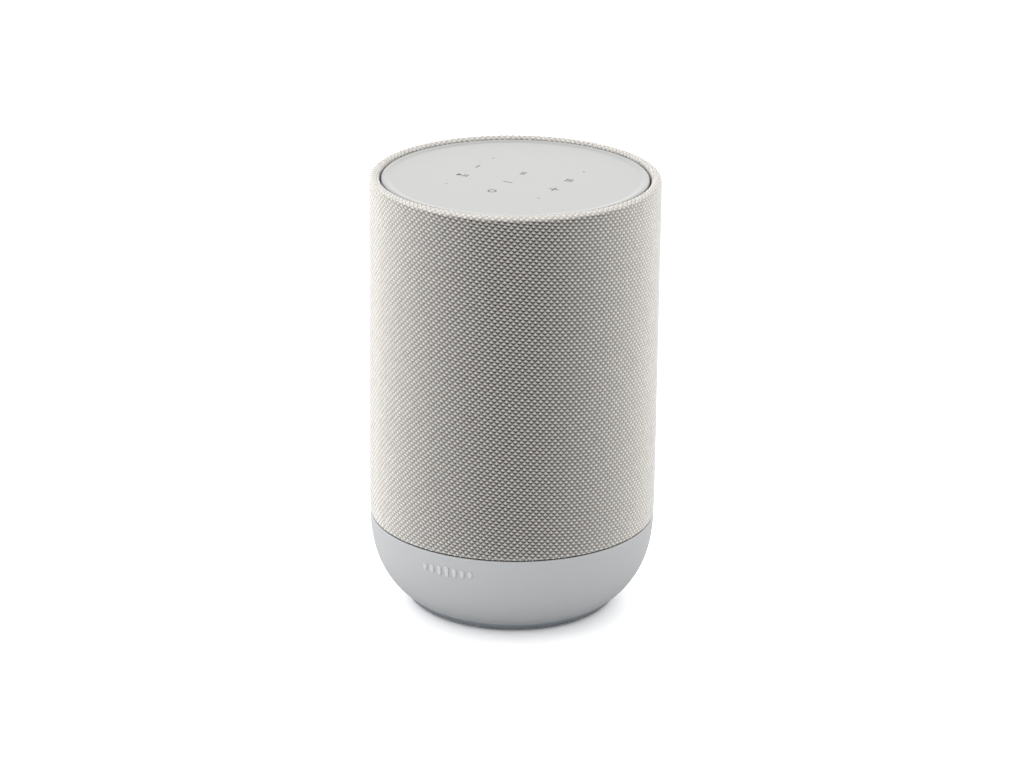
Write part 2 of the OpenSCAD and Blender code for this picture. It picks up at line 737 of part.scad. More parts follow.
module woofer_frame() {
    front = woofer_stack;
    seat = front - 1.4;
    seat_in = frame_neck_r - 1.8;
    spider_r = plate_r + 3.4;
    back = -basket_depth;
    color(PAPER_BLACK) at_woofer() difference() {
        rotate_extrude() polygon([
            [woofer_r, gasket_t], [woofer_r, front], [ledge_r, front], [ledge_r, seat], [seat_in, seat],
            [spider_r, spider_z], [spider_r - 4, spider_z], [spider_r - 4, back + 2],
            [coil_r + 2.1, back + 2], [coil_r + 2.1, back], [spider_r + 1, back], [spider_r + 1, back + 4],
            [frame_neck_r, gasket_t]]);
        for (a = [0 : 60 : 300]) rotate([0, 0, a])
            translate([plate_r + 1, -9, spider_z + 2]) cube([woofer_r, 18, -spider_z - 7]);
        around(woofer_screw_circle, [45 : 90 : 315]) cylinder(r = small_screw_r, h = 10);
    }
}

module woofer_top_plate() {
    color(STEEL) at_woofer() translate([0, 0, -basket_depth - plate_t])
        ring(plate_r, coil_r + coil_wire_t + 0.6, plate_t);
}

module woofer_magnet() {
    color("#4a4b4d") at_woofer() translate([0, 0, -basket_depth - plate_t - magnet_t])
        ring(magnet_r, coil_r + 4.5, magnet_t);
}

// Back plate with the pole piece that fills the coil
module woofer_yoke() {
    color(STEEL) at_woofer() translate([0, 0, -basket_depth - plate_t - magnet_t - yoke_t]) {
        cylinder(r = plate_r, h = yoke_t);
        cylinder(r = coil_r - 1, h = yoke_t + magnet_t + plate_t);
    }
}

module woofer_coil() {
    low = -basket_depth - plate_t - magnet_t + cone_travel + 1;
    wire_top = -basket_depth + cone_travel;
    color(GOLD) at_woofer() rotate_extrude() polygon([
        [coil_r - 0.4, low], [coil_r + coil_wire_t, low], [coil_r + coil_wire_t, wire_top],
        [coil_r, wire_top], [coil_r, cone_low + 1], [coil_r - 0.4, cone_low + 1]]);
}

cone_rim_z = woofer_stack - 2.2;

// Height of the cone's front face at radius r: a shallow curve from the coil to the rim
function cone_face(r) = let (t = (r - coil_r) / (cone_r - coil_r))
    cone_low + 1.2 + (cone_rim_z - cone_low - 1.2) * pow(t, 0.86);

module woofer_cone() {
    face = [for (i = [0 : 8]) let (r = coil_r + (cone_r - coil_r) * i / 8) [r, cone_face(r)]];
    color(PAPER_BLACK) at_woofer() rotate_extrude() polygon(concat(
        face, back_to_front([for (p = face) [p[0], p[1] - 1.1]])));
}

module woofer_dust_cap() {
    rim = coil_r + 2.6;
    rise = 5;
    cap_r = (rim * rim + rise * rise) / (2 * rise);
    half = asin(rim / cap_r);
    base = cone_face(rim) + 0.05;
    shell = 0.6;
    color("#37383b") at_woofer() translate([0, 0, base - cap_r * cos(half)]) rotate_extrude() polygon(concat(
        arc(0, 0, cap_r, 90 - half, 90, 8), arc(0, shell, cap_r, 90, 90 - half, 8)));
}

// Half-roll of rubber between the cone's rim and the frame
module woofer_surround() {
    mid = (cone_r + ledge_r - 3) / 2;
    roll = mid - cone_r - surround_t / 2;
    z = woofer_stack - 1.4;
    color(BLACK_RUBBER) at_woofer() rotate_extrude() polygon(concat(
        [[cone_r, z - surround_t]],
        [[cone_r, z]],
        arc(mid, z, roll + surround_t / 2, 180, 0, 12),
        [[ledge_r, z + surround_t], [ledge_r, z]],
        arc(mid, z, roll - surround_t / 2, 0, 180, 12),
        [[cone_r + surround_t, z - surround_t]]));
}

// Corrugated disc that centres the coil
module woofer_spider() {
    outer = plate_r + 3.3;
    bend_from = coil_r + 1;
    bend_to = plate_r - 1;
    waves = 5;
    sheet_t = 0.5;
    top = concat([[coil_r, spider_z + sheet_t]],
        [for (i = [0 : 30]) let (t = i / 30) [bend_from + (bend_to - bend_from) * t,
            spider_z + sheet_t + 0.7 * (1 - cos(360 * waves * t)) / 2]],
        [[outer, spider_z + sheet_t]]);
    color("#a8763a") at_woofer() rotate_extrude() polygon(concat(
        top, back_to_front([for (p = top) [p[0], p[1] - sheet_t]])));
}

module woofer_screws() {
    color(STEEL) at_woofer() around(woofer_screw_circle, [45 : 90 : 315])
        translate([0, 0, woofer_stack]) small_screw(woofer_stack + boss_l - 2);
}

// ---- Tweeters ----

module tweeter_plate(side) {
    throat = dome_r + 0.6;
    mouth = tweeter_r - 4.4;
    color(PAPER_BLACK) at_tweeter(side) difference() {
        rotate_extrude() polygon([
            [throat, 0], [tweeter_r, 0], [tweeter_r, tweeter_plate_t], [mouth, tweeter_plate_t], [throat, 0.8]]);
        around(tweeter_screw_circle, [0, 180]) translate([0, 0, -1]) cylinder(r = small_screw_r, h = 5);
    }
}

// Magnet pot with a pole inside and a ring-shaped gap for the dome's coil
module tweeter_motor(side) {
    gap_in = dome_r - 1;
    gap_out = dome_r + 0.6;
    color(STEEL) at_tweeter(side) rotate_extrude() polygon([
        [0, -motor_h], [motor_r, -motor_h], [motor_r, 0], [gap_out, 0],
        [gap_out, -6], [gap_in, -6], [gap_in, -0.8], [0, -0.8]]);
}

module tweeter_dome(side) {
    rise = 3.4;
    cap_r = (dome_r * dome_r + rise * rise) / (2 * rise);
    half = asin((dome_r - 0.4) / cap_r);
    shell = 0.4;
    color("#7c7f84") at_tweeter(side) rotate_extrude() polygon(concat(
        [[dome_r, -4.6], [dome_r, 0.4]],
        arc(0, 0.4 - cap_r * cos(half) + shell, cap_r, 90 - half, 90, 8),
        arc(0, 0.4 - cap_r * cos(half), cap_r, 90, 90 - half, 8),
        [[dome_r - 0.4, -4.6]]));
}

module left_tweeter_plate() tweeter_plate(-1);
module left_tweeter_motor() tweeter_motor(-1);
module left_tweeter_dome() tweeter_dome(-1);
module right_tweeter_plate() tweeter_plate(1);
module right_tweeter_motor() tweeter_motor(1);
module right_tweeter_dome() tweeter_dome(1);

module tweeter_screws() {
    color(STEEL) for (side = [-1, 1]) at_tweeter(side) around(tweeter_screw_circle, [0, 180])
        translate([0, 0, tweeter_plate_t]) small_screw(tweeter_plate_t + boss_l - 2);
}

// ---- Drum ----

module antenna_boards() {
    color(BOARD_GREEN) for (s = [-1, 1])
        translate([s * 34 - 15, 14, cab_top]) cube([30, 7, 1]);
}

// Slotted tube that carries the sleeve, with a rounded top edge that the sleeve rolls over
module grille_tube() {
    low = seam_ring_top;
    slot_w = 2 * PI * grille_out / grille_slots - grille_web;
    row_h = (deck_z - low - grille_web) / grille_rows;
    mid = (grille_in + grille_out) / 2;
    color(DARK_PLASTIC) difference() {
        rotate_extrude() polygon(concat(
            [[grille_in, low], [grille_out, low]], arc(mid, bead_z, grille_t / 2, 0, 180, 12)));
        for (row = [0 : grille_rows - 1], i = [0 : grille_slots - 1])
            rotate([0, 0, 360 * i / grille_slots])
                translate([grille_in - 5, -slot_w / 2, low + grille_web + row * row_h])
                    cube([grille_t + 10, slot_w, row_h - grille_web]);
    }
}

module fabric_sleeve() {
    mid = body_r - bead_r;
    core = bead_r - fabric_t;
    roll_in = 0.4;
    side = [for (z = levels(sleeve_z + roll_in, bowl_knee_z, 6, 1)) [bowl_r(z), z]];
    color(CLOTH_GREY) rotate_extrude() polygon(concat(
        [[grille_out, sleeve_z], [bowl_r(sleeve_z) - roll_in, sleeve_z]], side,
        arc(mid, bead_z, bead_r, 0, 180, 24),
        [[hem_r, deck_top], [grille_in, deck_top]],
        arc(mid, bead_z, core, 180, 0, 12)));
}

// Carrier that is screwed to the cabinet and holds the touch panel and its board
module top_deck() {
    color(DARK_PLASTIC) difference() {
        union() {
            translate([0, 0, deck_z]) cylinder(r = grille_in, h = deck_t);
            for (a = [45 : 90 : 315]) rotate([0, 0, a])
                translate([touch_board_r - 5, 0, deck_top - 1]) cylinder(r = stand_r, h = deck_space + 1);
        }
        around(deck_screw_circle, [45 : 90 : 315]) cylinder(r = screw_r, h = body_h * 2);
        for (a = [45 : 90 : 315]) rotate([0, 0, a])
            translate([touch_board_r - 5, 0, touch_board_z - 3]) cylinder(r = small_screw_r, h = 5);
    }
}

function mic_places() = [for (sx = [-1, 1], sy = [-1, 1]) [sx * mic_x, sy * mic_y]];

// Dished lid: a flat field, a soft raised lip and a skirt that stands on the deck
module touch_panel() {
    lip_curve = [for (i = [0 : 10]) let (t = i / 10) [
        panel_r - 0.8 - panel_lip * (1 - t), field_z + panel_dish * (1 - cos(180 * t)) / 2]];
    color(PANEL_GREY) difference() {
        rotate_extrude() polygon(concat(
            [[0, under_z], [panel_r - skirt_w, under_z], [panel_r - skirt_w, deck_top], [panel_r, deck_top]],
            arc(panel_r - 0.8, lip_z - 0.8, 0.8, 0, 90, 6),
            back_to_front(lip_curve), [[0, field_z]]));
        for (at = mic_places()) translate([at[0], at[1], under_z - 1])
            cylinder(d = mic_hole_d, h = panel_t + 3);
    }
}

module touch_board() {
    color(BOARD_GREEN) difference() {
        translate([0, 0, touch_board_z]) cylinder(r = touch_board_r, h = board_t);
        for (at = mic_places()) translate([at[0], at[1], touch_board_z - 1])
            cylinder(d = mic_hole_d, h = board_t + 2);
        for (a = [45 : 90 : 315]) rotate([0, 0, a])
            translate([touch_board_r - 5, 0, touch_board_z - 1]) cylinder(r = small_screw_r, h = board_t + 2);
    }
}

module mic_capsules() {
    color(METAL) for (at = mic_places())
        translate([at[0] - 1.75, at[1] - 1.35, touch_board_z - capsule_h]) cube([3.5, 2.7, capsule_h]);
}

module mic_gaskets() {
    color(BLACK_RUBBER) for (at = mic_places())
        translate([at[0], at[1], touch_board_z + board_t]) ring(3, mic_hole_d / 2, gasket_h);
}

foot_pad();
foot_ring();
foot_plate();
base_shell();
front_mark();
io_panel();
panel_screws();
power_inlet();
inlet_pins();
usb_port();
usb_tongue();
aux_jack();
pair_button();
connect_button();
mic_switch();
status_light();
io_board();
switch_bodies();
power_board();
transformer();
capacitors();
heat_sink();
main_board();
wifi_module();
amp_chips();
board_screws();
chassis_screws();
case_screws();
seam_ring();
cabinet_floor();
floor_gasket();
cabinet();
damping_pad();
woofer_gasket();
woofer_frame();
woofer_top_plate();
woofer_magnet();
woofer_yoke();
woofer_coil();
woofer_cone();
woofer_dust_cap();
woofer_surround();
woofer_spider();
woofer_screws();
left_tweeter_plate();
left_tweeter_motor();
left_tweeter_dome();
right_tweeter_plate();
right_tweeter_motor();
right_tweeter_dome();
tweeter_screws();
antenna_boards();
grille_tube();
fabric_sleeve();
top_deck();
touch_panel();
touch_board();
mic_capsules();
mic_gaskets();
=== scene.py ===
"""Looks of a table-top smart speaker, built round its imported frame.

The frame holds every part at its real size, and this script dresses it. The parts that a buyer
sees are new surfaces worked out with numpy: the woven sleeve, the moulded bowl with its connector
bay, the plated foot ring, the dished touch panel and its printed marks. The parts inside keep the
frame's shapes and get a finish of their own.

Lengths in the classes are millimetres. The last step of each shape turns them into metres.
"""

import logging
import math
from dataclasses import dataclass
from enum import Enum
from typing import Any, Iterable, Mapping, Sequence

import bpy
import numpy as np
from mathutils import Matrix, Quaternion, Vector


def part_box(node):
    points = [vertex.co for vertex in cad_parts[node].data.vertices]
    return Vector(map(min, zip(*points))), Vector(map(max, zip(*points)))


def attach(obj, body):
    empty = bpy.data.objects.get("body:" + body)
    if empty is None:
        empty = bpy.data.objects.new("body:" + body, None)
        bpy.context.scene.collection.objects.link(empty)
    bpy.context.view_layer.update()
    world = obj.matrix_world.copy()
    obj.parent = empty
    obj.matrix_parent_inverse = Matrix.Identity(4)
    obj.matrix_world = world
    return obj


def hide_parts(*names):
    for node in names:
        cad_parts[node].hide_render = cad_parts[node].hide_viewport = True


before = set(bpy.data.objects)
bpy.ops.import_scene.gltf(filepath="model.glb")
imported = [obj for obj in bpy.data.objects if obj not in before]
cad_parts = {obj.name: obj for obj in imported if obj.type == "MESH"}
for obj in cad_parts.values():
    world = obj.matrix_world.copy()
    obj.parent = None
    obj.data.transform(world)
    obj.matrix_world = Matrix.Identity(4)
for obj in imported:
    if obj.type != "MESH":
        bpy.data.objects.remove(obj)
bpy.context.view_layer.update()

log = logging.getLogger("speaker")
MM = 0.001
MAIN_BODY = "speaker"


# ---------------------------------------------------------------- meshes

def grid_quads(rows: int, cols: int, wrap: bool) -> np.ndarray:
    """Quads of a grid of rows by cols points, numbered row by row.

    Args:
        rows: Number of rows of points.
        cols: Number of points in a row.
        wrap: Whether the last column joins the first.

    Returns:
        An array of quads, four point numbers each.
    """
    across = cols if wrap else cols - 1
    i, j = np.meshgrid(np.arange(rows - 1), np.arange(across), indexing="ij")
    here, right = i * cols + j, i * cols + (j + 1) % cols
    return np.stack([here, right, right + cols, here + cols], -1).reshape(-1, 4)


def facing(points: np.ndarray, quads: np.ndarray, outwards: np.ndarray) -> np.ndarray:
    """Turns round each quad whose normal points against its outward direction.

    Args:
        points: The points, one row each.
        quads: The quads, as point numbers.
        outwards: One direction for all the quads, or one for each quad.

    Returns:
        The quads, all facing their direction.
    """
    a, b, c, d = (points[quads[:, k]] for k in range(4))
    against = (np.cross(c - a, d - b) * outwards).sum(1) < 0
    quads = quads.copy()
    quads[against] = quads[against][:, ::-1]
    return quads


def weld(points: np.ndarray, quads: np.ndarray, uv: np.ndarray | None) -> tuple:
    """Merges points that lie within a ten-thousandth of a millimetre, and drops what collapses.

    A quad with two equal neighbours becomes a triangle, and one with less than that goes.

    Args:
        points: The points, in millimetres.
        quads: The quads, as point numbers.
        uv: One pattern coordinate for each point, or None.

    Returns:
        The merged points, a list of faces, and the coordinate of each face corner or None.
    """
    _, first, where = np.unique(np.round(points, 4), axis=0, return_index=True, return_inverse=True)
    merged = where.reshape(-1)[quads]
    same = merged == np.roll(merged, -1, axis=1)
    flat = (merged[:, :2] == merged[:, 2:]).any(1)
    whole = ~same.any(1) & ~flat
    short = (same.sum(1) == 1) & ~flat
    keep = ~same[short]
    triangles = merged[short][keep].reshape(-1, 3)
    faces = merged[whole].tolist() + triangles.tolist()
    if uv is None:
        return points[first], faces, None
    corners = np.concatenate([uv[quads[whole]].reshape(-1, 2), uv[quads[short][keep]].reshape(-1, 2)])
    return points[first], faces, corners


def make_piece(name: str, points: np.ndarray, quads: np.ndarray,
               uv: np.ndarray | None = None) -> bpy.types.Object:
    """Makes a smooth mesh object at the origin from points in millimetres.

    Args:
        name: The piece's name.
        points: The points, in millimetres, in the row frame.
        quads: The quads, as point numbers, facing outwards.
        uv: One pattern coordinate for each point, or None.

    Returns:
        The new object, linked to the scene.
    """
    welded, faces, corners = weld(points, quads, uv)
    mesh = bpy.data.meshes.new(name)
    mesh.from_pydata((welded * MM).tolist(), [], faces)
    mesh.polygons.foreach_set("use_smooth", np.ones(len(faces), bool))
    if corners is not None:
        layer = mesh.uv_layers.new(name="pattern")
        layer.data.foreach_set("uv", corners.astype(np.float32).ravel())
    mesh.update()
    piece = bpy.data.objects.new(name, mesh)
    bpy.context.scene.collection.objects.link(piece)
    return piece


def outward_closed(points: np.ndarray, quads: np.ndarray) -> np.ndarray:
    """Turns a closed surface the right way out: its signed volume, the sum over the faces of
    corner a dotted with b cross c, has to be positive.

    Args:
        points: The points, one row each.
        quads: The quads of one closed surface, all turning the same way.

    Returns:
        The quads, facing outwards.
    """
    a, b, c, d = (points[quads[:, k]] for k in range(4))
    volume = (a * (np.cross(b, c) + np.cross(c, d))).sum()
    return quads if volume > 0 else quads[:, ::-1]


def revolve(profile: Sequence, segments: int) -> tuple[np.ndarray, np.ndarray]:
    """A closed solid of revolution about +Z: the point (r, z) of the profile goes to
    (r sin a, -r cos a, z) for every angle a of a full turn.

    Args:
        profile: The outline's points (r, z), which close on themselves or end on the axis.
        segments: Number of steps in a turn.

    Returns:
        The points and the outward quads.
    """
    outline = np.asarray(profile, float)
    on_axis = outline[0, 0] == 0 and outline[-1, 0] == 0
    if not on_axis:
        outline = np.vstack([outline, outline[:1]])
    angle = np.linspace(0, 2 * np.pi, segments, endpoint=False)
    r, z = outline[:, :1], outline[:, 1:]
    points = np.stack([r * np.sin(angle), -r * np.cos(angle), z + 0 * angle], -1).reshape(-1, 3)
    return points, outward_closed(points, grid_quads(len(outline), segments, True))


def arc(cx: float, cz: float, radius: float, start: float, end: float, count: int) -> list:
    """Points of a circle's arc, centre plus radius times (cos, sin), from start to end in degrees."""
    angle = np.radians(np.linspace(start, end, count))
    return np.stack([cx + radius * np.cos(angle), cz + radius * np.sin(angle)], -1).tolist()


def turned(points: np.ndarray, centre: Sequence[float], direction: Sequence[float]) -> np.ndarray:
    """Stands a shape made about +Z on another axis: x, y and z become two cross directions and
    the direction, and the centre is added.

    Args:
        points: The points about +Z, in millimetres.
        centre: Where the shape's origin goes.
        direction: Where its +Z goes, a unit vector across +Z.

    Returns:
        The points in the row frame.
    """
    out = np.asarray(direction, float)
    side = np.cross((0.0, 0.0, 1.0), out)
    return points[:, :1] * side + points[:, 1:2] * np.cross(out, side) + points[:, 2:] * out + centre


def rounded(corners: Sequence[tuple[float, float, float]], steps: int = 6) -> np.ndarray:
    """Softens an outline: each corner (r, z, cut) becomes the curve (1 - t)^2 start +
    2 t (1 - t) corner + t^2 end, which starts and ends at the cut's length from it.

    Args:
        corners: The corners and the cut at each.
        steps: Number of points on each curve.

    Returns:
        The points of the outline.
    """
    table = np.array(corners, float)
    spots, cuts = table[:, :2], table[:, 2]
    before, after = np.roll(spots, 1, 0) - spots, np.roll(spots, -1, 0) - spots
    before /= np.linalg.norm(before, axis=1)[:, None]
    after /= np.linalg.norm(after, axis=1)[:, None]
    t = np.linspace(0, 1, steps)[:, None]
    out = []
    for spot, cut, back, on in zip(spots, cuts, before, after):
        curve = (1 - t) ** 2 * (spot + back * cut) + 2 * t * (1 - t) * spot + t ** 2 * (spot + on * cut)
        out.append(curve if cut else spot[None])
    return np.vstack(out)


def crisp(piece: bpy.types.Object, degrees: float = 35.0) -> bpy.types.Object:
    """Keeps edges sharper than the angle sharp, and lets large faces set the shading of the rest.

    Args:
        piece: The piece to shade.
        degrees: The angle above which an edge stays sharp.

    Returns:
        The same piece.
    """
    piece.data.set_sharp_from_angle(angle=math.radians(degrees))
    weighted = piece.modifiers.new("normals", "WEIGHTED_NORMAL")
    weighted.keep_sharp = True
    return piece


def joined(parts: Iterable[tuple[np.ndarray, np.ndarray]]) -> tuple[np.ndarray, np.ndarray]:
    """Puts several surfaces into one list of points and one of quads.

    Args:
        parts: The points and quads of each surface.

    Returns:
        All the points and all the quads.
    """
    points, quads, start = [], [], 0
    for part_points, part_quads in parts:
        points.append(part_points)
        quads.append(part_quads + start)
        start += len(part_points)
    return np.vstack(points), np.vstack(quads)


def ribbon(path: np.ndarray, width: float, low: float, high: float, closed: bool = False) -> tuple:
    """A printed line: a flat box section swept along a path in the plane, with round ends.

    The half width at a distance e from an end is the half circle's sqrt(h^2 - (h - e)^2).

    Args:
        path: Points (x, y) of its middle line.
        width: Its width.
        low: Height of its underside.
        high: Height of its top.
        closed: Whether the path joins itself.

    Returns:
        The points and the outward quads.
    """
    half = width / 2
    if not closed:
        length = np.hypot(*np.diff(path, axis=0).T)
        along = np.concatenate([[0], np.cumsum(length)])
        end = half * (1 - np.cos(np.linspace(0, np.pi / 2, 6)))
        straight = along[(along > half) & (along < along[-1] - half)]
        at = np.unique(np.concatenate([end, straight, along[-1] - end]))
        path = np.stack([np.interp(at, along, path[:, 0]), np.interp(at, along, path[:, 1])], -1)
        near = np.clip(np.minimum(at, along[-1] - at), 0, half)
        wide = np.sqrt(half ** 2 - (half - near) ** 2)
        way = np.gradient(path, axis=0)
    else:
        wide = np.full(len(path), half)
        way = np.roll(path, -1, 0) - np.roll(path, 1, 0)
    way /= np.linalg.norm(way, axis=1)[:, None]
    side = np.stack([-way[:, 1], way[:, 0]], -1) * wide[:, None]
    section = [(path + side, low), (path + side, high), (path - side, high), (path - side, low)]
    points = np.stack([np.column_stack([xy, np.full(len(xy), z)]) for xy, z in section])
    if closed:
        quads = grid_quads(5, len(path), True) % (4 * len(path))
        return points.reshape(-1, 3), outward_closed(points.reshape(-1, 3), quads)
    points = points.transpose(1, 0, 2).reshape(-1, 3)
    return points, outward_closed(points, grid_quads(len(path), 4, True))


def slab(outline: np.ndarray, low: float, high: float) -> tuple[np.ndarray, np.ndarray]:
    """A flat closed shape: rings from its middle to its outline on top, and back underneath.

    Args:
        outline: Points (x, y) of its edge.
        low: Height of its underside.
        high: Height of its top.

    Returns:
        The points and the outward quads.
    """
    share = np.array([0, 1, 1, 0])[:, None, None]
    middle = outline.mean(0)
    flat = middle + share * (outline - middle)
    level = np.array([high, high, low, low])[:, None, None] + 0 * flat[..., :1]
    points = np.concatenate([flat, level], -1).reshape(-1, 3)
    return points, outward_closed(points, grid_quads(4, len(outline), True))


def place(piece: bpy.types.Object, material: bpy.types.Material, slot: str, *nodes: str,
          body: str = MAIN_BODY) -> bpy.types.Object:
    """Gives a new piece its material, lets it ride on a body, and hides what it replaces.

    Args:
        piece: The new piece.
        material: Its material.
        slot: Not used.
        *nodes: The frame nodes that it stands for.
        body: The body that it rides on.

    Returns:
        The same piece.
    """
    piece.data.materials.clear()
    piece.data.materials.append(material)
    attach(piece, body)
    if nodes:
        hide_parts(*nodes)
    log.info("%s: %d faces, on %s", piece.name, len(piece.data.polygons), body)
    return piece


def box_mm(node: str) -> tuple[np.ndarray, np.ndarray]:
    """Lowest and highest corner of a frame node, in millimetres."""
    low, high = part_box(node)
    return np.array(low) / MM, np.array(high) / MM


# ---------------------------------------------------------------- finishes

def linear(colour: str) -> tuple[float, float, float, float]:
    """Turns an sRGB colour such as #c9ccce into linear red, green, blue and an alpha of 1."""
    value = [int(colour[k:k + 2], 16) / 255 for k in (1, 3, 5)]
    return (*(v / 12.92 if v <= 0.04045 else ((v + 0.055) / 1.055) ** 2.4 for v in value), 1.0)


def add_node(tree: bpy.types.NodeTree, kind: str, settings: Mapping[str, Any] | None = None,
             inputs: Mapping[Any, Any] | None = None) -> bpy.types.Node:
    """Adds a shader node with its settings, values and links.

    Args:
        tree: The node tree.
        kind: The node's type, without its ShaderNode prefix.
        settings: Attributes of the node itself.
        inputs: For each input, by name or number, a value or the socket that feeds it.

    Returns:
        The new node.
    """
    node = tree.nodes.new("ShaderNode" + kind)
    for name, value in (settings or {}).items():
        setattr(node, name, value)
    for key, value in (inputs or {}).items():
        if isinstance(value, bpy.types.NodeSocket):
            tree.links.new(value, node.inputs[key])
        else:
            node.inputs[key].default_value = value
    return node


def new_material(name: str) -> tuple[bpy.types.Material, bpy.types.NodeTree]:
    """Makes a material with an empty node tree.

    Args:
        name: The material's name.

    Returns:
        The material and its tree.
    """
    material = bpy.data.materials.new(name)
    material.use_nodes = True
    material.node_tree.nodes.clear()
    return material, material.node_tree


class Pattern(Enum):
    """How a surface was made, which sets the texture that its relief and colour follow."""

    GRAIN = "moulded against a fine eroded tool"
    DRAWN = "drawn or extruded along one axis"
    MOTTLED = "plated, sintered or pressed"
    WOUND = "wound from wire or woven in rows"
    FIBRE = "felted or pulped from fibres"


@dataclass(frozen=True)
class Finish:
    """A material by its common name, with typical values for it.

    Attributes:
        name: The material and the way its surface was made.
        colour: Its main colour, sRGB.
        second: The colour that its pattern brings in, sRGB.
        roughness: Base roughness.
        metallic: 1 for bare metal.
        ior: Index of refraction. A metal keeps the default.
        pattern: How it was made.
        size: Size of one grain, line or fibre, in millimetres.
        depth: Relief of the pattern, in millimetres.
        blend: Share of the second colour at the pattern's peaks.
        sheen: Soft edge glow of fibres.
        stretch: How much longer the pattern is along each axis.
    """

    name: str
    colour: str
    second: str
    roughness: float
    metallic: float = 0.0
    ior: float = 1.5
    pattern: Pattern = Pattern.GRAIN
    size: float = 0.5
    depth: float = 0.01
    blend: float = 0.3
    sheen: float = 0.0
    stretch: tuple[float, float, float] = (1.0, 1.0, 1.0)

    def texture(self, tree: bpy.types.NodeTree) -> bpy.types.NodeSocket:
        """The pattern's height, from 0 to 1, in object space.

        Args:
            tree: The material's node tree.

        Returns:
            The socket that carries the height.
        """
        place_node = add_node(tree, "TexCoord")
        per_metre = 1 / (self.size * MM)
        scale = tuple(per_metre / s for s in self.stretch)
        mapped = add_node(tree, "Mapping", None, {"Vector": place_node.outputs["Object"], "Scale": scale})
        vector = mapped.outputs["Vector"]
        if self.pattern is Pattern.WOUND:
            rows = add_node(tree, "TexWave", {"wave_profile": "SIN", "bands_direction": "Z"},
                            {"Vector": vector, "Scale": 0.5, "Distortion": 0.4, "Detail": 1.0})
            return rows.outputs["Fac"]
        if self.pattern is Pattern.MOTTLED:
            cells = add_node(tree, "TexVoronoi", {"feature": "SMOOTH_F1"}, {"Vector": vector, "Scale": 1.0})
            return cells.outputs["Distance"]
        detail = 5.0 if self.pattern is Pattern.FIBRE else 2.0
        distortion = 1.5 if self.pattern is Pattern.FIBRE else 0.0
        noise = add_node(tree, "TexNoise", None,
                         {"Vector": vector, "Scale": 1.0, "Detail": detail, "Distortion": distortion})
        return noise.outputs["Fac"]

    def build(self) -> bpy.types.Material:
        """Makes the material: the pattern tints the colour, varies the roughness and raises a relief.

        Returns:
            The material.
        """
        material, tree = new_material(self.name)
        height = self.texture(tree)
        tint = add_node(tree, "Mix", {"data_type": "RGBA"},
                        {6: linear(self.colour), 7: linear(self.second),
                         0: add_node(tree, "Math", {"operation": "MULTIPLY"},
                                     {0: height, 1: self.blend}).outputs[0]})
        rough = add_node(tree, "MapRange", None,
                         {"Value": height, "To Min": max(self.roughness - 0.05, 0.02),
                          "To Max": min(self.roughness + 0.05, 1.0)})
        bump = add_node(tree, "Bump", None, {"Height": height, "Strength": 1.0, "Distance": self.depth * MM})
        surface = add_node(tree, "BsdfPrincipled", None,
                           {"Base Color": tint.outputs[2], "Roughness": rough.outputs["Result"],
                            "Normal": bump.outputs["Normal"], "Metallic": self.metallic,
                            "Sheen Weight": self.sheen, "Sheen Roughness": 0.4})
        if not self.metallic:
            surface.inputs["IOR"].default_value = self.ior
        add_node(tree, "OutputMaterial", None, {"Surface": surface.outputs["BSDF"]})
        return material


# The two large ABS mouldings are spark-eroded, so their fine grain breaks up every highlight. The
# raised mark's tool is polished, so its bars shine; their colour, paler than the shell round them, is painted
# highlight.
SHELL_ABS = Finish("satin_moulded_abs_cool_grey", "#b9bbbd", "#b2b4b7", 0.42, ior=1.53, size=0.35,
                   depth=0.006)
# Painted highlight: the bars' colour is paler than the shell's.
POLISHED_ABS = Finish("polished_moulded_abs_cool_grey", "#cdcfd1", "#c5c7c9", 0.25, ior=1.53, size=0.35,
                      depth=0.001)
PANEL_ABS = Finish("satin_moulded_abs_pale_grey", "#9b9c9a", "#959694", 0.40, ior=1.53, size=0.30,
                   depth=0.004)
DARK_ABS = Finish("textured_moulded_abs_charcoal", "#2c2d2f", "#3b3c3f", 0.55, ior=1.53, size=0.6, depth=0.03)
# Bright nickel-chrome plating is nearly a mirror, with faint lines from the turned steel under it.
PLATED_RING = Finish("bright_plated_turned_steel", "#b2b8bf", "#9ca3ab", 0.13, 1.0, pattern=Pattern.DRAWN,
                     size=0.25, depth=0.0008, stretch=(60.0, 60.0, 1.0))
RUBBER = Finish("matt_moulded_rubber", "#1c1c1d", "#2b2b2c", 0.8, ior=1.52, size=0.5, depth=0.03)
ZINC = Finish("zinc_plated_steel", "#a4a8ab", "#cfd2d3", 0.32, 1.0, pattern=Pattern.MOTTLED, size=0.7,
              depth=0.004)
FERRITE = Finish("ground_ferrite", "#38393b", "#55575a", 0.5, 0.3, pattern=Pattern.DRAWN, size=0.4,
                 depth=0.01, stretch=(1.0, 8.0, 1.0))
COPPER = Finish("enamelled_copper_wire", "#8a4a1f", "#c8813f", 0.28, 1.0, pattern=Pattern.WOUND, size=0.5,
                depth=0.12, blend=0.7)
SHRINK_SLEEVE = Finish("shrink_sleeve_navy", "#1b2740", "#2c3b5c", 0.3, ior=1.52, size=3.0, depth=0.02)
EXTRUSION = Finish("extruded_aluminium", "#bfc2c4", "#9fa3a6", 0.38, 1.0, pattern=Pattern.DRAWN, size=0.3,
                   depth=0.008, stretch=(1.0, 1.0, 30.0))
PAPER_PULP = Finish("pressed_paper_pulp", "#232325", "#3a3a3d", 0.9, pattern=Pattern.FIBRE, size=0.8,
                    depth=0.12, blend=0.8, sheen=0.2, stretch=(1.0, 1.0, 3.0))
BUTYL = Finish("butyl_rubber_half_roll", "#161617", "#222224", 0.6, ior=1.52, size=0.5, depth=0.01)
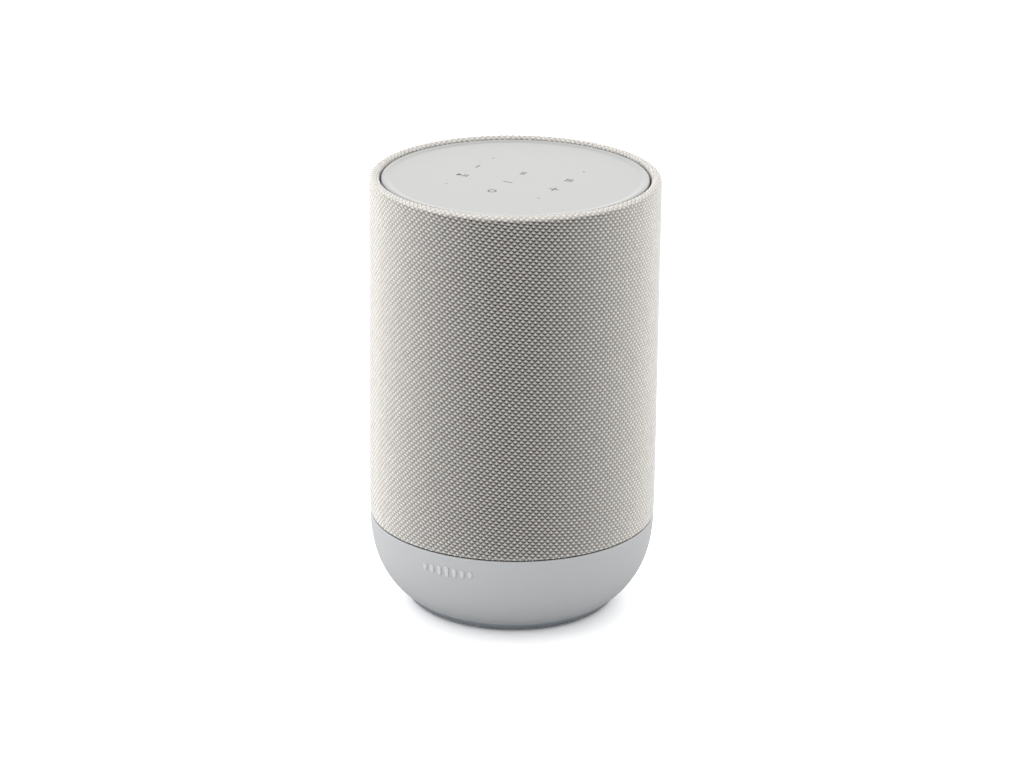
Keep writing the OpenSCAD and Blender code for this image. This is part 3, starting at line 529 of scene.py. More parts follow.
SPIDER_COTTON = Finish("resin_dipped_cotton", "#9a6a33", "#6f4a22", 0.85, pattern=Pattern.WOUND, size=0.9,
                       depth=0.1, blend=0.8)
SILK = Finish("coated_silk_dome", "#4a4b50", "#66686e", 0.5, pattern=Pattern.WOUND, size=0.35, depth=0.03,
              blend=0.6)
WADDING = Finish("polyester_wadding", "#d6d1c4", "#9f9a8c", 0.95, pattern=Pattern.FIBRE, size=1.6, depth=0.6,
                 blend=0.9, sheen=0.5)
PRINT_INK = Finish("screen_printed_ink_grey", "#3b3e41", "#474a4d", 0.6, size=0.2, depth=0.002)
MIC_MESH = Finish("acoustic_mesh_taupe", "#7c6e5e", "#5c5145", 0.8, pattern=Pattern.WOUND, size=0.2,
                  depth=0.02)


@dataclass(frozen=True)
class CircuitBoard:
    """Glass-epoxy board under green solder mask: rows of tracks show as slightly paler, raised
    lines, and tinned pads as bright spots."""

    name: str = "solder_masked_circuit_board"
    mask: str = "#1d4a2c"
    track: str = "#2f6a41"
    pad: str = "#c9ccc6"
    track_pitch: float = 2.2
    pad_pitch: float = 3.8

    def build(self) -> bpy.types.Material:
        """Makes the material: bricks give the tracks, and the middles of Voronoi cells the pads.

        Returns:
            The material.
        """
        material, tree = new_material(self.name)
        spot = add_node(tree, "TexCoord").outputs["Object"]
        tracks = add_node(tree, "TexBrick", None,
                          {"Vector": spot, "Scale": 1 / (self.track_pitch * MM), "Color1": linear(self.mask),
                           "Color2": linear(self.mask), "Mortar": linear(self.track), "Mortar Size": 0.06,
                           "Brick Width": 3.0, "Row Height": 1.0})
        cells = add_node(tree, "TexVoronoi", None,
                         {"Vector": spot, "Scale": 1 / (self.pad_pitch * MM), "Randomness": 0.6})
        pads = add_node(tree, "Math", {"operation": "LESS_THAN"}, {0: cells.outputs["Distance"], 1: 0.16})
        colour = add_node(tree, "Mix", {"data_type": "RGBA"},
                          {0: pads.outputs[0], 6: tracks.outputs["Color"], 7: linear(self.pad)})
        bump = add_node(tree, "Bump", None, {"Height": tracks.outputs["Fac"], "Distance": 0.03 * MM})
        surface = add_node(tree, "BsdfPrincipled", None,
                           {"Base Color": colour.outputs[2], "Metallic": pads.outputs[0], "Roughness": 0.35,
                            "Normal": bump.outputs["Normal"]})
        add_node(tree, "OutputMaterial", None, {"Surface": surface.outputs["BSDF"]})
        return material


@dataclass(frozen=True)
class LightPipe:
    """Frosted polycarbonate light pipe: it passes light and scatters it a little."""

    name: str = "frosted_polycarbonate"
    colour: str = "#eef4f6"

    def build(self) -> bpy.types.Material:
        """Makes the material, with a faint moulded grain on its face.

        Returns:
            The material.
        """
        material, tree = new_material(self.name)
        noise = add_node(tree, "TexNoise", None,
                         {"Vector": add_node(tree, "TexCoord").outputs["Object"], "Scale": 1 / (0.2 * MM)})
        bump = add_node(tree, "Bump", None, {"Height": noise.outputs["Fac"], "Distance": 0.01 * MM})
        surface = add_node(tree, "BsdfPrincipled", None,
                           {"Base Color": linear(self.colour), "Roughness": 0.35, "IOR": 1.58,
                            "Transmission Weight": 0.6, "Normal": bump.outputs["Normal"]})
        add_node(tree, "OutputMaterial", None, {"Surface": surface.outputs["BSDF"]})
        return material


@dataclass(frozen=True)
class WovenPolyester:
    """Woven polyester: plump silver bundles sit between thin beige yarns that cross on the
    diagonals. Painted shade darkens each bundle's lower part, a band round it and spots in the gaps
    beside its lower edges; a painted lit copy brightens the cloth edge-on and over the top bead.

    The pattern map holds the two diagonal coordinates p and q, one unit from bundle to bundle.
    Each bundle's middle is at whole p and q, and the yarns run halfway between.
    """

    name: str = "woven_polyester_silver_and_beige"
    bundle: str = "#bbbdbf"
    # under: colour of the painted shade on the lower part of each bundle and in a band round it.
    under: str = "#625d59"
    yarn: str = "#807260"
    # hole: colour of the painted shade in the gaps beside each bundle's lower edges.
    hole: str = "#0e0d0d"
    # lit_bundle and lit_yarn: painted light, brighter lit copies of the bundle and yarn colours.
    lit_bundle: str = "#f2f2f1"
    lit_yarn: str = "#bba98d"
    # bead_low to bead_high: heights over which the painted light over the top bead comes in.
    bead_low: float = 213.4
    bead_high: float = 215.2
    bundle_relief: float = 0.3
    filament: float = 0.22

    def build(self) -> bpy.types.Material:
        """Makes the material from the distances to the nearest bundle, yarn and shaded gap, with painted
        shade and painted light.

        Returns:
            The material.
        """
        material, tree = new_material(self.name)
        uv = add_node(tree, "UVMap", {"uv_map": "pattern"}).outputs["UV"]
        shifted = add_node(tree, "VectorMath", {"operation": "ADD"}, {0: uv, 1: (0.5, 0.5, 0.5)})
        cell = add_node(tree, "VectorMath", {"operation": "FRACTION"}, {0: shifted.outputs[0]})
        local = add_node(tree, "VectorMath", {"operation": "SUBTRACT"},
                         {0: cell.outputs[0], 1: (0.5, 0.5, 0.5)})
        p, q = self.split(tree, local.outputs[0])
        far = add_node(tree, "VectorMath", {"operation": "ABSOLUTE"}, {0: local.outputs[0]})
        away_p, away_q = self.split(tree, far.outputs[0])
        edge = add_node(tree, "Math", {"operation": "SMOOTH_MAX"}, {0: away_p, 1: away_q, 2: 0.12}).outputs[0]
        up = add_node(tree, "Math", {"operation": "SUBTRACT"}, {0: p, 1: q}).outputs[0]

        # Painted shade: each bundle darkens from its top towards its lower corner, where less light falls.
        shade = add_node(tree, "MapRange", {"interpolation_type": "SMOOTHSTEP"},
                         {"Value": up, "From Min": -0.5, "From Max": 0.02})
        silver = add_node(tree, "Mix", {"data_type": "RGBA"},
                          {0: shade.outputs["Result"], 6: linear(self.under), 7: linear(self.bundle)})
        # Painted shade: a darker band round each bundle, between it and the yarns.
        off_bundle = add_node(tree, "MapRange", {"interpolation_type": "SMOOTHSTEP"},
                              {"Value": edge, "From Min": 0.33, "From Max": 0.41})
        shaded = add_node(tree, "Mix", {"data_type": "RGBA"},
                          {0: off_bundle.outputs["Result"], 6: silver.outputs[2], 7: linear(self.under)})
        on_yarn = add_node(tree, "MapRange", {"interpolation_type": "SMOOTHSTEP"},
                           {"Value": edge, "From Min": 0.40, "From Max": 0.46})
        cloth = add_node(tree, "Mix", {"data_type": "RGBA"},
                         {0: on_yarn.outputs["Result"], 6: shaded.outputs[2], 7: linear(self.yarn)})
        # Painted shade: dark spots in the gaps beside each bundle's lower edges, shaded by the bundles above
        # them; the relief also sinks there.
        holes = add_node(tree, "Math", {"operation": "MAXIMUM"},
                         {0: self.shaded_gap_spot(tree, local.outputs[0], (-0.34, 0.06)),
                          1: self.shaded_gap_spot(tree, local.outputs[0], (-0.06, 0.34))})
        colour = add_node(tree, "Mix", {"data_type": "RGBA"},
                          {0: holes.outputs[0], 6: cloth.outputs[2], 7: linear(self.hole)})
        varied = self.vary(tree, colour.outputs[2])

        dome = add_node(tree, "MapRange", {"interpolation_type": "SMOOTHSTEP"},
                        {"Value": edge, "From Min": 0.05, "From Max": 0.46, "To Min": 1.0, "To Max": 0.0})
        filaments = add_node(tree, "TexWave", {"bands_direction": "DIAGONAL"},
                             {"Vector": uv, "Scale": 0.5 / self.filament, "Distortion": 0.8, "Detail": 1.0})
        fine = add_node(tree, "Math", {"operation": "MULTIPLY"}, {0: filaments.outputs["Fac"], 1: 0.12})
        raised = add_node(tree, "Math", {"operation": "ADD"}, {0: dome.outputs["Result"], 1: fine.outputs[0]})
        sunk = add_node(tree, "Math", {"operation": "SUBTRACT"}, {0: raised.outputs[0], 1: holes.outputs[0]})
        bump = add_node(tree, "Bump", None,
                        {"Height": sunk.outputs[0], "Strength": 1.0, "Distance": self.bundle_relief * MM})
        facing_cloth = add_node(tree, "BsdfPrincipled", None,
                                {"Base Color": varied, "Roughness": 0.72, "IOR": 1.5, "Sheen Weight": 0.6,
                                 "Sheen Roughness": 0.35, "Normal": bump.outputs["Normal"]})
        # Painted light: lit copies of the bundle and yarn colours.
        lit = add_node(tree, "Mix", {"data_type": "RGBA"},
                       {0: on_yarn.outputs["Result"], 6: linear(self.lit_bundle), 7: linear(self.lit_yarn)})
        # fibres is a painted lit copy of the cloth, mixed in edge-on as a painted sheen and over the top
        # bead.
        fibres = add_node(tree, "BsdfDiffuse", None,
                          {"Color": self.vary(tree, lit.outputs[2]), "Normal": bump.outputs["Normal"]})
        slant = add_node(tree, "LayerWeight", None, {"Blend": 0.5})
        edge_on = add_node(tree, "MapRange", None,
                           {"Value": slant.outputs["Facing"], "From Min": 0.06, "From Max": 0.7,
                            "To Max": 0.95})
        _, _, height = add_node(tree, "SeparateXYZ", None,
                                {0: add_node(tree, "TexCoord").outputs["Object"]}).outputs
        # Painted light over the top bead, which makes the cloth there brighter.
        bead_painted_light = add_node(tree, "MapRange", {"interpolation_type": "SMOOTHSTEP"},
                             {"Value": height, "From Min": self.bead_low * MM,
                              "From Max": self.bead_high * MM, "To Max": 0.95})
        glow = add_node(tree, "Math", {"operation": "MAXIMUM"},
                        {0: edge_on.outputs["Result"], 1: bead_painted_light.outputs["Result"]})
        surface = add_node(tree, "MixShader", None,
                           {0: glow.outputs[0], 1: facing_cloth.outputs["BSDF"],
                            2: fibres.outputs["BSDF"]})
        add_node(tree, "OutputMaterial", None, {"Surface": surface.outputs["Shader"]})
        return material

    @staticmethod
    def split(tree: bpy.types.NodeTree, vector: bpy.types.NodeSocket) -> tuple:
        """The x and y of a vector socket, as two sockets."""
        parts = add_node(tree, "SeparateXYZ", None, {0: vector})
        return parts.outputs[0], parts.outputs[1]

    @staticmethod
    def shaded_gap_spot(tree: bpy.types.NodeTree, local: bpy.types.NodeSocket, middle: tuple[float, float]) -> Any:
        """An oval spot of painted shade in the gap beside one lower edge of a bundle: 1 where the
        distance from its middle, measured faster across the edge than along it, is small.

        Args:
            tree: The material's node tree.
            local: The place within a bundle's cell.
            middle: The middle of the spot, which is on one of the cell's two axes.

        Returns:
            The socket with the spot's strength.
        """
        across = (5.6, 3.6, 0.0) if abs(middle[0]) > 0.2 else (3.6, 5.6, 0.0)
        from_middle = add_node(tree, "VectorMath", {"operation": "SUBTRACT"}, {0: local, 1: (*middle, 0.0)})
        scaled = add_node(tree, "VectorMath", {"operation": "MULTIPLY"},
                          {0: from_middle.outputs[0], 1: across})
        length = add_node(tree, "VectorMath", {"operation": "LENGTH"}, {0: scaled.outputs[0]})
        spot = add_node(tree, "MapRange", {"interpolation_type": "SMOOTHSTEP"},
                        {"Value": length.outputs["Value"], "From Min": 0.5, "From Max": 1.2,
                         "To Min": 1.0, "To Max": 0.0})
        return spot.outputs["Result"]

    @staticmethod
    def vary(tree: bpy.types.NodeTree, colour: bpy.types.NodeSocket) -> bpy.types.NodeSocket:
        """Makes the cloth a little lighter and darker from bundle to bundle.

        Args:
            tree: The material's node tree.
            colour: The socket with the even colour.

        Returns:
            The socket with the varied colour.
        """
        spot = add_node(tree, "TexCoord").outputs["Object"]
        noise = add_node(tree, "TexNoise", None, {"Vector": spot, "Scale": 1 / (2.6 * MM), "Detail": 1.0})
        level = add_node(tree, "MapRange", None,
                         {"Value": noise.outputs["Fac"], "To Min": 0.86, "To Max": 1.12})
        varied = add_node(tree, "HueSaturation", None, {"Color": colour, "Value": level.outputs["Result"]})
        return varied.outputs["Color"]


SLOT_FINISHES: dict[str, Any] = {
    "rubber": RUBBER, "trim_metal": PLATED_RING, "dark_plastic": DARK_ABS, "shell_plastic": SHELL_ABS,
    "panel_plastic": PANEL_ABS, "light_pipe": LightPipe(), "circuit_board": CircuitBoard(),
    "plated_steel": ZINC, "ferrite": FERRITE, "copper": COPPER, "capacitor_sleeve": SHRINK_SLEEVE,
    "aluminium": EXTRUSION, "cone_paper": PAPER_PULP, "surround_rubber": BUTYL, "spider_cloth": SPIDER_COTTON,
    "dome_cloth": SILK, "wadding": WADDING, "sleeve_cloth": WovenPolyester(),
}


# ---------------------------------------------------------------- the drum and its base

@dataclass
class Bowl:
    """The moulded base: a superellipse bowl with a connector bay cut into its back.

    The radius at height z is foot_r plus (drum_r - foot_r) times
    (1 - ((knee_z - z) / (knee_z - foot_z)) ** power) ** (1 / rounding).
    """

    drum_r: float = 70.0
    foot_r: float = 52.4
    foot_z: float = 4.8
    knee_z: float = 60.8
    power: float = 3.64
    rounding: float = 1.083
    seam_z: float = 44.6
    wall: float = 1.2
    rim: float = 0.5
    bay_x: float = 31.0
    bay_low: float = 14.0
    bay_high: float = 40.0
    bay_y: float = 49.42

    def radius(self, z: Any) -> np.ndarray:
        """Radius of the outside at each height, by the class's formula."""
        share = np.clip((self.knee_z - np.asarray(z, float)) / (self.knee_z - self.foot_z), 0, 1)
        return self.foot_r + (self.drum_r - self.foot_r) * (1 - share ** self.power) ** (1 / self.rounding)

    def outline(self) -> np.ndarray:
        """The skin's half section, from the flat under the bowl to the flat of its top rim.

        Returns:
            Its points (r, z).
        """
        heights = np.concatenate([
            self.foot_z + (self.bay_low - self.foot_z) * np.linspace(0, 1, 24) ** 2,
            np.linspace(self.bay_low, self.bay_high, 40)[1:],
            np.linspace(self.bay_high, self.seam_z - self.rim, 8)[1:]])
        side = np.stack([self.radius(heights), heights], -1)
        under = [(47.3, self.foot_z), (49.8, self.foot_z)]
        top_r = float(side[-1, 0])
        chamfer = arc(top_r - self.rim, self.seam_z - self.rim, self.rim, 18, 90, 5)
        return np.vstack([under, side, chamfer, [(top_r - 2.0, self.seam_z)]])

    def build(self, material: bpy.types.Material) -> bpy.types.Object:
        """Makes the skin in strips round the bay's mouth, adds the bay's walls, and thickens it all.

        Args:
            material: The shell's finish.

        Returns:
            The shell.
        """
        outline = self.outline()
        strip = np.arcsin(self.bay_x / outline[:, 0])
        round_front = np.linspace(-1, 1, 281)
        across = np.linspace(-1, 1, 41)
        parts = [self.skin(outline, (np.pi - strip)[:, None] * round_front)]
        low = np.flatnonzero(outline[:, 1] <= self.bay_low + 1e-9)
        high = np.flatnonzero(outline[:, 1] >= self.bay_high - 1e-9)
        for rows in (low, high):
            at = self.bay_x * across
            parts.append(self.skin(outline[rows], np.pi - np.arcsin(at / outline[rows, :1])))
        parts += self.bay_walls(outline, across)
        shell = make_piece("base_bowl", *joined(parts))
        thicken = shell.modifiers.new("wall", "SOLIDIFY")
        thicken.thickness = self.wall * MM
        thicken.offset = -1
        soften = shell.modifiers.new("edges", "BEVEL")
        soften.width = 0.45 * MM
        soften.segments = 3
        soften.angle_limit = math.radians(50)
        shell.modifiers.new("normals", "WEIGHTED_NORMAL").weight = 100
        return place(shell, material, "shell_plastic", "base_shell")

    def skin(self, outline: np.ndarray, angles: np.ndarray) -> tuple[np.ndarray, np.ndarray]:
        """Surface (r sin a, -r cos a, z) over the outline's points and each row's own angles.

        Args:
            outline: Points (r, z), one for each row.
            angles: The angles a of each row.

        Returns:
            The points and the quads, facing away from the axis.
        """
        r, z = outline[:, :1], outline[:, 1:]
        points = np.stack([r * np.sin(angles), -r * np.cos(angles), z + 0 * angles], -1).reshape(-1, 3)
        quads = grid_quads(*angles.shape, False)
        middle = points[quads].mean(1)
        outwards = middle * (1, 1, 0) + (0, 0, 1) * (middle[:, 2:] - 20)
        return points, facing(points, quads, outwards)

    def bay_walls(self, outline: np.ndarray, across: np.ndarray) -> list[tuple[np.ndarray, np.ndarray]]:
        """Floor, ceiling and sides of the bay: straight lines from the mouth's edge to the panel.

        Args:
            outline: The skin's outline.
            across: Places across the bay, from -1 to 1.

        Returns:
            Points and quads of the four walls, facing into the bay.
        """
        inwards = np.linspace(0, 1, 6)[:, None]
        walls = []
        x = self.bay_x * across
        for z, up in ((self.bay_low, 1.0), (self.bay_high, -1.0)):
            mouth_y = np.sqrt(self.radius(z) ** 2 - x ** 2)
            y = mouth_y + (self.bay_y - mouth_y) * inwards
            points = np.stack([x + 0 * y, y, z + 0 * y], -1).reshape(-1, 3)
            walls.append((points, facing(points, grid_quads(*y.shape, False), np.array((0, 0, up)))))
        rows = outline[(outline[:, 1] >= self.bay_low - 1e-9) & (outline[:, 1] <= self.bay_high + 1e-9)]
        edge_y = np.sqrt(rows[:, 0] ** 2 - self.bay_x ** 2)
        for side in (-1.0, 1.0):
            y = edge_y + (self.bay_y - edge_y) * inwards
            points = np.stack([side * self.bay_x + 0 * y, y, rows[:, 1] + 0 * y], -1).reshape(-1, 3)
            walls.append((points, facing(points, grid_quads(*y.shape, False), np.array((-side, 0, 0)))))
        return walls


@dataclass
class LevelBars:
    """Row of upright bars raised on the front of the base, tallest in the middle."""

    width: float = 28.0
    height: float = 5.8
    middle_z: float = 36.2
    bars: int = 7
    proud: float = 0.65
    fall: float = 0.45
    sunk: float = 0.4
    thick_share: float = 0.275
    flat_share: float = 0.7

    def build(self, bowl: Bowl, material: bpy.types.Material) -> bpy.types.Object:
        """Makes each bar as a pill on a polar grid: rings grow from its middle line to its edge,
        and the height falls from flat to the shell over the outer rings.

        Args:
            bowl: The base that the bars lie on.
            material: The bars' finish.

        Returns:
            All the bars, as one piece.
        """
        pitch = self.width / self.bars
        half_w = pitch * self.thick_share
        slope_share = 1 - self.flat_share
        share = np.concatenate([np.linspace(0, self.flat_share, 4),
                                np.linspace(self.flat_share + 0.06, 1, 7)])
        level = self.proud * np.cos(np.pi / 2 * np.clip((share - self.flat_share) / slope_share, 0, 1)) ** 0.5
        rings = np.concatenate([share, share[::-1]])
        lift = np.concatenate([level, np.full(len(share), -self.sunk)])
        turn = np.linspace(0, 2 * np.pi, 40, endpoint=False)
        points, quads = [], []
        for i in range(self.bars):
            step = i - (self.bars - 1) / 2
            bar = self.height * (1 - self.fall * abs(step) / ((self.bars - 1) / 2))
            straight = bar / 2 - half_w
            x = rings[:, None] * half_w * np.cos(turn) + step * pitch
            stretch = straight * np.sign(np.sin(turn)) * (rings[:, None] > 0)
            z = rings[:, None] * half_w * np.sin(turn) + stretch + self.middle_z
            r = bowl.radius(z) + lift[:, None]
            angle = x / bowl.radius(self.middle_z)
            pill = np.stack([r * np.sin(angle), -r * np.cos(angle), z], -1).reshape(-1, 3)
            quads.append(outward_closed(pill, grid_quads(len(rings), len(turn), True)) + i * len(pill))
            points.append(pill)
        mark = make_piece("level_bars", np.vstack(points), np.vstack(quads))
        return place(mark, material, "shell_plastic", "front_mark")


@dataclass
class Sleeve:
    """The woven sleeve: a tube of cloth that rolls over the grille's top edge.

    The outside is a lattice on the two diagonals of the weave. Every bundle has a high middle,
    four low edges and four corners where yarns cross. A point at s along the cross-section and u
    cells round the drum has the weave's row v = s / row + shear * u.
    """

    drum_r: float = 70.0
    top_z: float = 216.0
    thickness: float = 1.4
    bead_r: float = 2.5
    low_z: float = 45.08
    tuck_z: float = 206.2
    columns: int = 150
    row: float = 3.0
    rows_per_turn: int = 14
    relief: float = 0.34
    hem_r: float = 0.45
    hem_inset: float = 0.12
    inset_top_z: float = 60.0
    inset_over: float = 12.0

    def section(self, bowl: Bowl) -> np.ndarray:
        """The outside's half section, from under the hem, up the drum and into the top gap.

        Args:
            bowl: The base, whose curve the sleeve's lower end follows.

        Returns:
            Its points (r, z).
        """
        bottom_r = float(bowl.radius(self.low_z)) - self.hem_inset
        hem = arc(bottom_r - self.hem_r, self.low_z + self.hem_r, self.hem_r, -90, 0, 8)
        heights = np.linspace(self.low_z + self.hem_r, self.top_z - self.bead_r, 120)[1:]
        inset = self.hem_inset * np.clip((self.inset_top_z - heights) / self.inset_over, 0, 1)
        side = np.stack([bowl.radius(heights) - inset, heights], -1)
        bead = arc(self.drum_r - self.bead_r, self.top_z - self.bead_r, self.bead_r, 0, 180, 40)[1:]
        inner_r = self.drum_r - 2 * self.bead_r
        return np.vstack([[(self.drum_r - self.thickness + 0.05, self.low_z)], hem, side, bead,
                          [(inner_r, self.tuck_z)]])

    def back(self) -> np.ndarray:
        """The inside's half section, from the tuck, over the tube and down to the hem.

        Returns:
            Its points (r, z).
        """
        core = self.bead_r - self.thickness + 0.02
        middle = self.drum_r - self.bead_r
        over = arc(middle, self.top_z - self.bead_r, core, 180, 0, 9)
        inner_r = self.drum_r - self.thickness
        down = [(inner_r, z) for z in (160.0, 110.0, 60.0)]
        tuck = [(self.drum_r - 2 * self.bead_r, self.tuck_z), (middle - core, self.tuck_z)]
        return np.vstack([tuck, over, down, [(inner_r + 0.05, self.low_z)]])

    def build(self, bowl: Bowl, material: bpy.types.Material) -> bpy.types.Object:
        """Makes the relief lattice and the plain back, and welds them into one closed sleeve.

        Args:
            bowl: The base, whose curve the sleeve's lower end follows.
            material: The cloth.

        Returns:
            The sleeve.
        """
        section = self.section(bowl)
        steps = np.hypot(*np.diff(section, axis=0).T)
        along = np.concatenate([[0], np.cumsum(steps)])
        shear = self.rows_per_turn / self.columns
        k, j = np.meshgrid(np.arange(-2, int(4 * (along[-1] / self.row + self.rows_per_turn)) + 4),
                           np.arange(2 * self.columns + 1), indexing="ij")
        u = j / 2 + (k % 2) / 4
        s = np.clip(self.row * (k / 4 - shear * u), 0, along[-1])
        v = s / self.row + shear * u
        p, q = u + v, u - v
        r, z = np.interp(s, along, section[:, 0]), np.interp(s, along, section[:, 1])
        slope = np.gradient(section, along, axis=0)
        out_r, out_z = np.interp(s, along, slope[:, 1]), -np.interp(s, along, slope[:, 0])
        size = np.hypot(out_r, out_z)
        ends = np.clip(np.minimum(s - 0.4, along[-1] - 3 - s) / 1.5, 0, 1)
        lift = self.relief * ends * (self.plump(p, q) - 0.75)
        r, z = r + lift * out_r / size, z + lift * out_z / size
        angle = 2 * np.pi * u / self.columns
        front = np.stack([r * np.sin(angle), -r * np.cos(angle), z], -1).reshape(-1, 3)
        turn = np.linspace(0, 2 * np.pi, 4 * self.columns, endpoint=False)
        inner_r, inner_z = self.back()[:, :1], self.back()[:, 1:]
        inside = np.stack([inner_r * np.sin(turn), -inner_r * np.cos(turn), inner_z + 0 * turn], -1)
        inside = inside.reshape(-1, 3)
        points, quads = joined([(front, self.diamonds(*k.shape, int(k[0, 0]))),
                                (inside, grid_quads(len(inner_r), len(turn), True))])
        pattern = np.vstack([np.stack([p, q], -1).reshape(-1, 2), np.zeros((len(inside), 2))])
        piece = make_piece("woven_sleeve", points, quads, pattern)
        place(piece, material, "sleeve_cloth", "fabric_sleeve")
        return piece

    @staticmethod
    def plump(p: np.ndarray, q: np.ndarray) -> np.ndarray:
        """Height of the weave: the product of two cosines makes a bundle's dome, and a smaller
        product of sines lifts the corners where two yarns cross."""
        a, b = np.pi * (p - np.round(p)), np.pi * (q - np.round(q))
        return np.cos(a) * np.cos(b) + 0.35 * np.abs(np.sin(a) * np.sin(b))

    @staticmethod
    def diamonds(rows: int, cols: int, first: int) -> np.ndarray:
        """Diamond quads of a lattice whose odd rows are set half a step to the side.

        Args:
            rows: Number of rows of points.
            cols: Number of points in a row.
            first: Number of the first row, which says whether it is even.

        Returns:
            Quads from a point to the point two rows up, by way of its two neighbours between.
        """
        k, m = np.meshgrid(np.arange(rows - 2), np.arange(cols - 1), indexing="ij")
        middle = m + (k % 2 == first % 2)
        return np.stack([k * cols + middle, (k + 1) * cols + m + 1, (k + 2) * cols + middle,
                         (k + 1) * cols + m], -1).reshape(-1, 4)


@dataclass
class TouchPanel:
    """The dished touch panel: a flat field inside a soft raised lip, with a skirt and four
    microphone holes."""

    radius: float = 64.24
    field_z: float = 214.2
    lip_z: float = 214.7
    lip: float = 3.4
    under_z: float = 212.2
    skirt_z: float = 206.0
    skirt: float = 1.6
    mic_at: float = 24.4
    mic_y: float = 24.6
    mic_d: float = 1.0
    mic_steps: int = 24
    turn_steps: int = 256

    def at_mics(self, points: np.ndarray, quads: np.ndarray) -> tuple[np.ndarray, np.ndarray]:
        """Four copies of a shape, one at each microphone hole."""
        return joined((points + (sx * self.mic_at, sy * self.mic_y, 0), quads)
                      for sx in (-1, 1) for sy in (-1, 1))

    def outline(self) -> np.ndarray:
        """The half section: the lip's rise is (1 - cos) / 2 across its width, and a quadratic
        curve rounds it over into the skirt.

        Returns:
            Its points (r, z).
        """
        rise = np.linspace(0, 1, 12)
        crest = self.radius - 1.5
        lip = np.stack([crest - self.lip * (1 - rise),
                        self.field_z + (self.lip_z - self.field_z) * (1 - np.cos(np.pi * rise)) / 2], -1)
        rest = rounded([(crest, self.lip_z, 0), (self.radius, self.lip_z, 1.2),
                        (self.radius, self.skirt_z, 0.3),
                        (self.radius - self.skirt, self.skirt_z, 0.2),
                        (self.radius - self.skirt, self.under_z, 0.3), (0.0, self.under_z, 0)])
        steps = np.array([[0, self.field_z], [20, self.field_z], [40, self.field_z]])
        return np.vstack([steps, lip, rest[1:]])

    def build(self, material: bpy.types.Material) -> bpy.types.Object:
        """Turns the section about the axis and cuts the microphone holes.

        Args:
            material: The panel's finish.

        Returns:
            The panel.
        """
        panel = make_piece("touch_panel_moulding", *revolve(self.outline(), self.turn_steps))
        hole = rounded([(self.mic_d / 2, self.under_z - 1, 0), (self.mic_d / 2, self.field_z - 0.12, 0.1),
                        (self.mic_d / 2 + 0.5, self.field_z + 0.4, 0), (0, self.field_z + 0.4, 0)])
        hole = np.vstack([[(0, self.under_z - 1)], hole])
        cutter = make_piece("hole_tool", *self.at_mics(*revolve(hole, self.mic_steps)))
        cut = panel.modifiers.new("holes", "BOOLEAN")
        cut.object = cutter
        cut.operation = "DIFFERENCE"
        cut.solver = "EXACT"
        evaluated = panel.evaluated_get(bpy.context.evaluated_depsgraph_get())
        mesh = bpy.data.meshes.new_from_object(evaluated)
        panel.modifiers.clear()
        panel.data = mesh
        bpy.data.objects.remove(cutter)
        crisp(panel, 40)
        return place(panel, material, "panel_plastic", "touch_panel")

    def meshes(self, material: bpy.types.Material) -> bpy.types.Object:
        """Puts a disc of acoustic mesh a little way down each microphone hole.

        Args:
            material: The mesh's finish.

        Returns:
            The four discs, as one piece.
        """
        top = self.field_z - 0.3
        edge_r = self.mic_d / 2 - 0.01
        disc = revolve([(0, top), (edge_r, top), (edge_r, top - 0.1), (0, top - 0.1)], self.mic_steps)
        piece = make_piece("microphone_meshes", *self.at_mics(*disc))
        return place(crisp(piece), material, "dark_plastic")


@dataclass
class PanelPrint:
    """Marks printed on the touch panel: three presets as one, two and three strokes, then
    play and pause, quieter, louder, and a ring."""

    column: float = 24.4
    row: float = 8.2
    ring_y: float = 24.6
    line: float = 0.64
    ink: float = 0.03
    stroke_pitch: float = 1.4
    stroke_half: float = 2.2
    pause_half: float = 1.75
    play_w: float = 3.1
    minus_half: float = 2.5
    plus_half: float = 2.7
    ring_r: float = 1.85

    def build(self, panel: TouchPanel, material: bpy.types.Material) -> bpy.types.Object:
        """Makes every mark as thin closed ribbons and slabs that lie on the panel's field.

        Args:
            panel: The panel they lie on.
            material: The ink.

        Returns:
            All the marks, as one piece.
        """
        low, high = panel.field_z - 0.02, panel.field_z + self.ink
        parts = []
        for count, x in ((1, -self.column), (2, 0.0), (3, self.column)):
            for k in range(count):
                at = x + self.stroke_pitch * (k - (count - 1) / 2)
                parts.append(self.line_between((at, self.row - self.stroke_half),
                                               (at, self.row + self.stroke_half), low, high))
        left, y = -self.column - 2.7, -self.row
        play = rounded([(left, y + self.pause_half, 0.25), (left + self.play_w, y, 0.25),
                        (left, y - self.pause_half, 0.25)])
        parts.append(slab(play, low, high))
        for x in (-self.column + 1.2, -self.column + 2.6):
            parts.append(self.line_between((x, y - self.pause_half), (x, y + self.pause_half), low, high))
        parts.append(self.line_between((-self.minus_half, y), (self.minus_half, y), low, high))
        parts.append(self.line_between((self.column - self.plus_half, y), (self.column + self.plus_half, y),
                                       low, high))
        # The plus sign's upright lies a hair lower, so that its top doesn't fight with the bar's.
        parts.append(self.line_between((self.column, y - self.plus_half), (self.column, y + self.plus_half),
                                       low, high - 0.002))
        ring = np.array(arc(0, -self.ring_y, self.ring_r, 0, 360, 65))[:-1]
        parts.append(ribbon(ring, self.line, low, high, closed=True))
        piece = make_piece("printed_marks", *joined(parts))
        return place(crisp(piece), material, "dark_plastic")

    def line_between(self, start: tuple, end: tuple, low: float, high: float) -> tuple:
        """A straight printed line with round ends."""
        return ribbon(np.array([start, end], float), self.line, low, high)


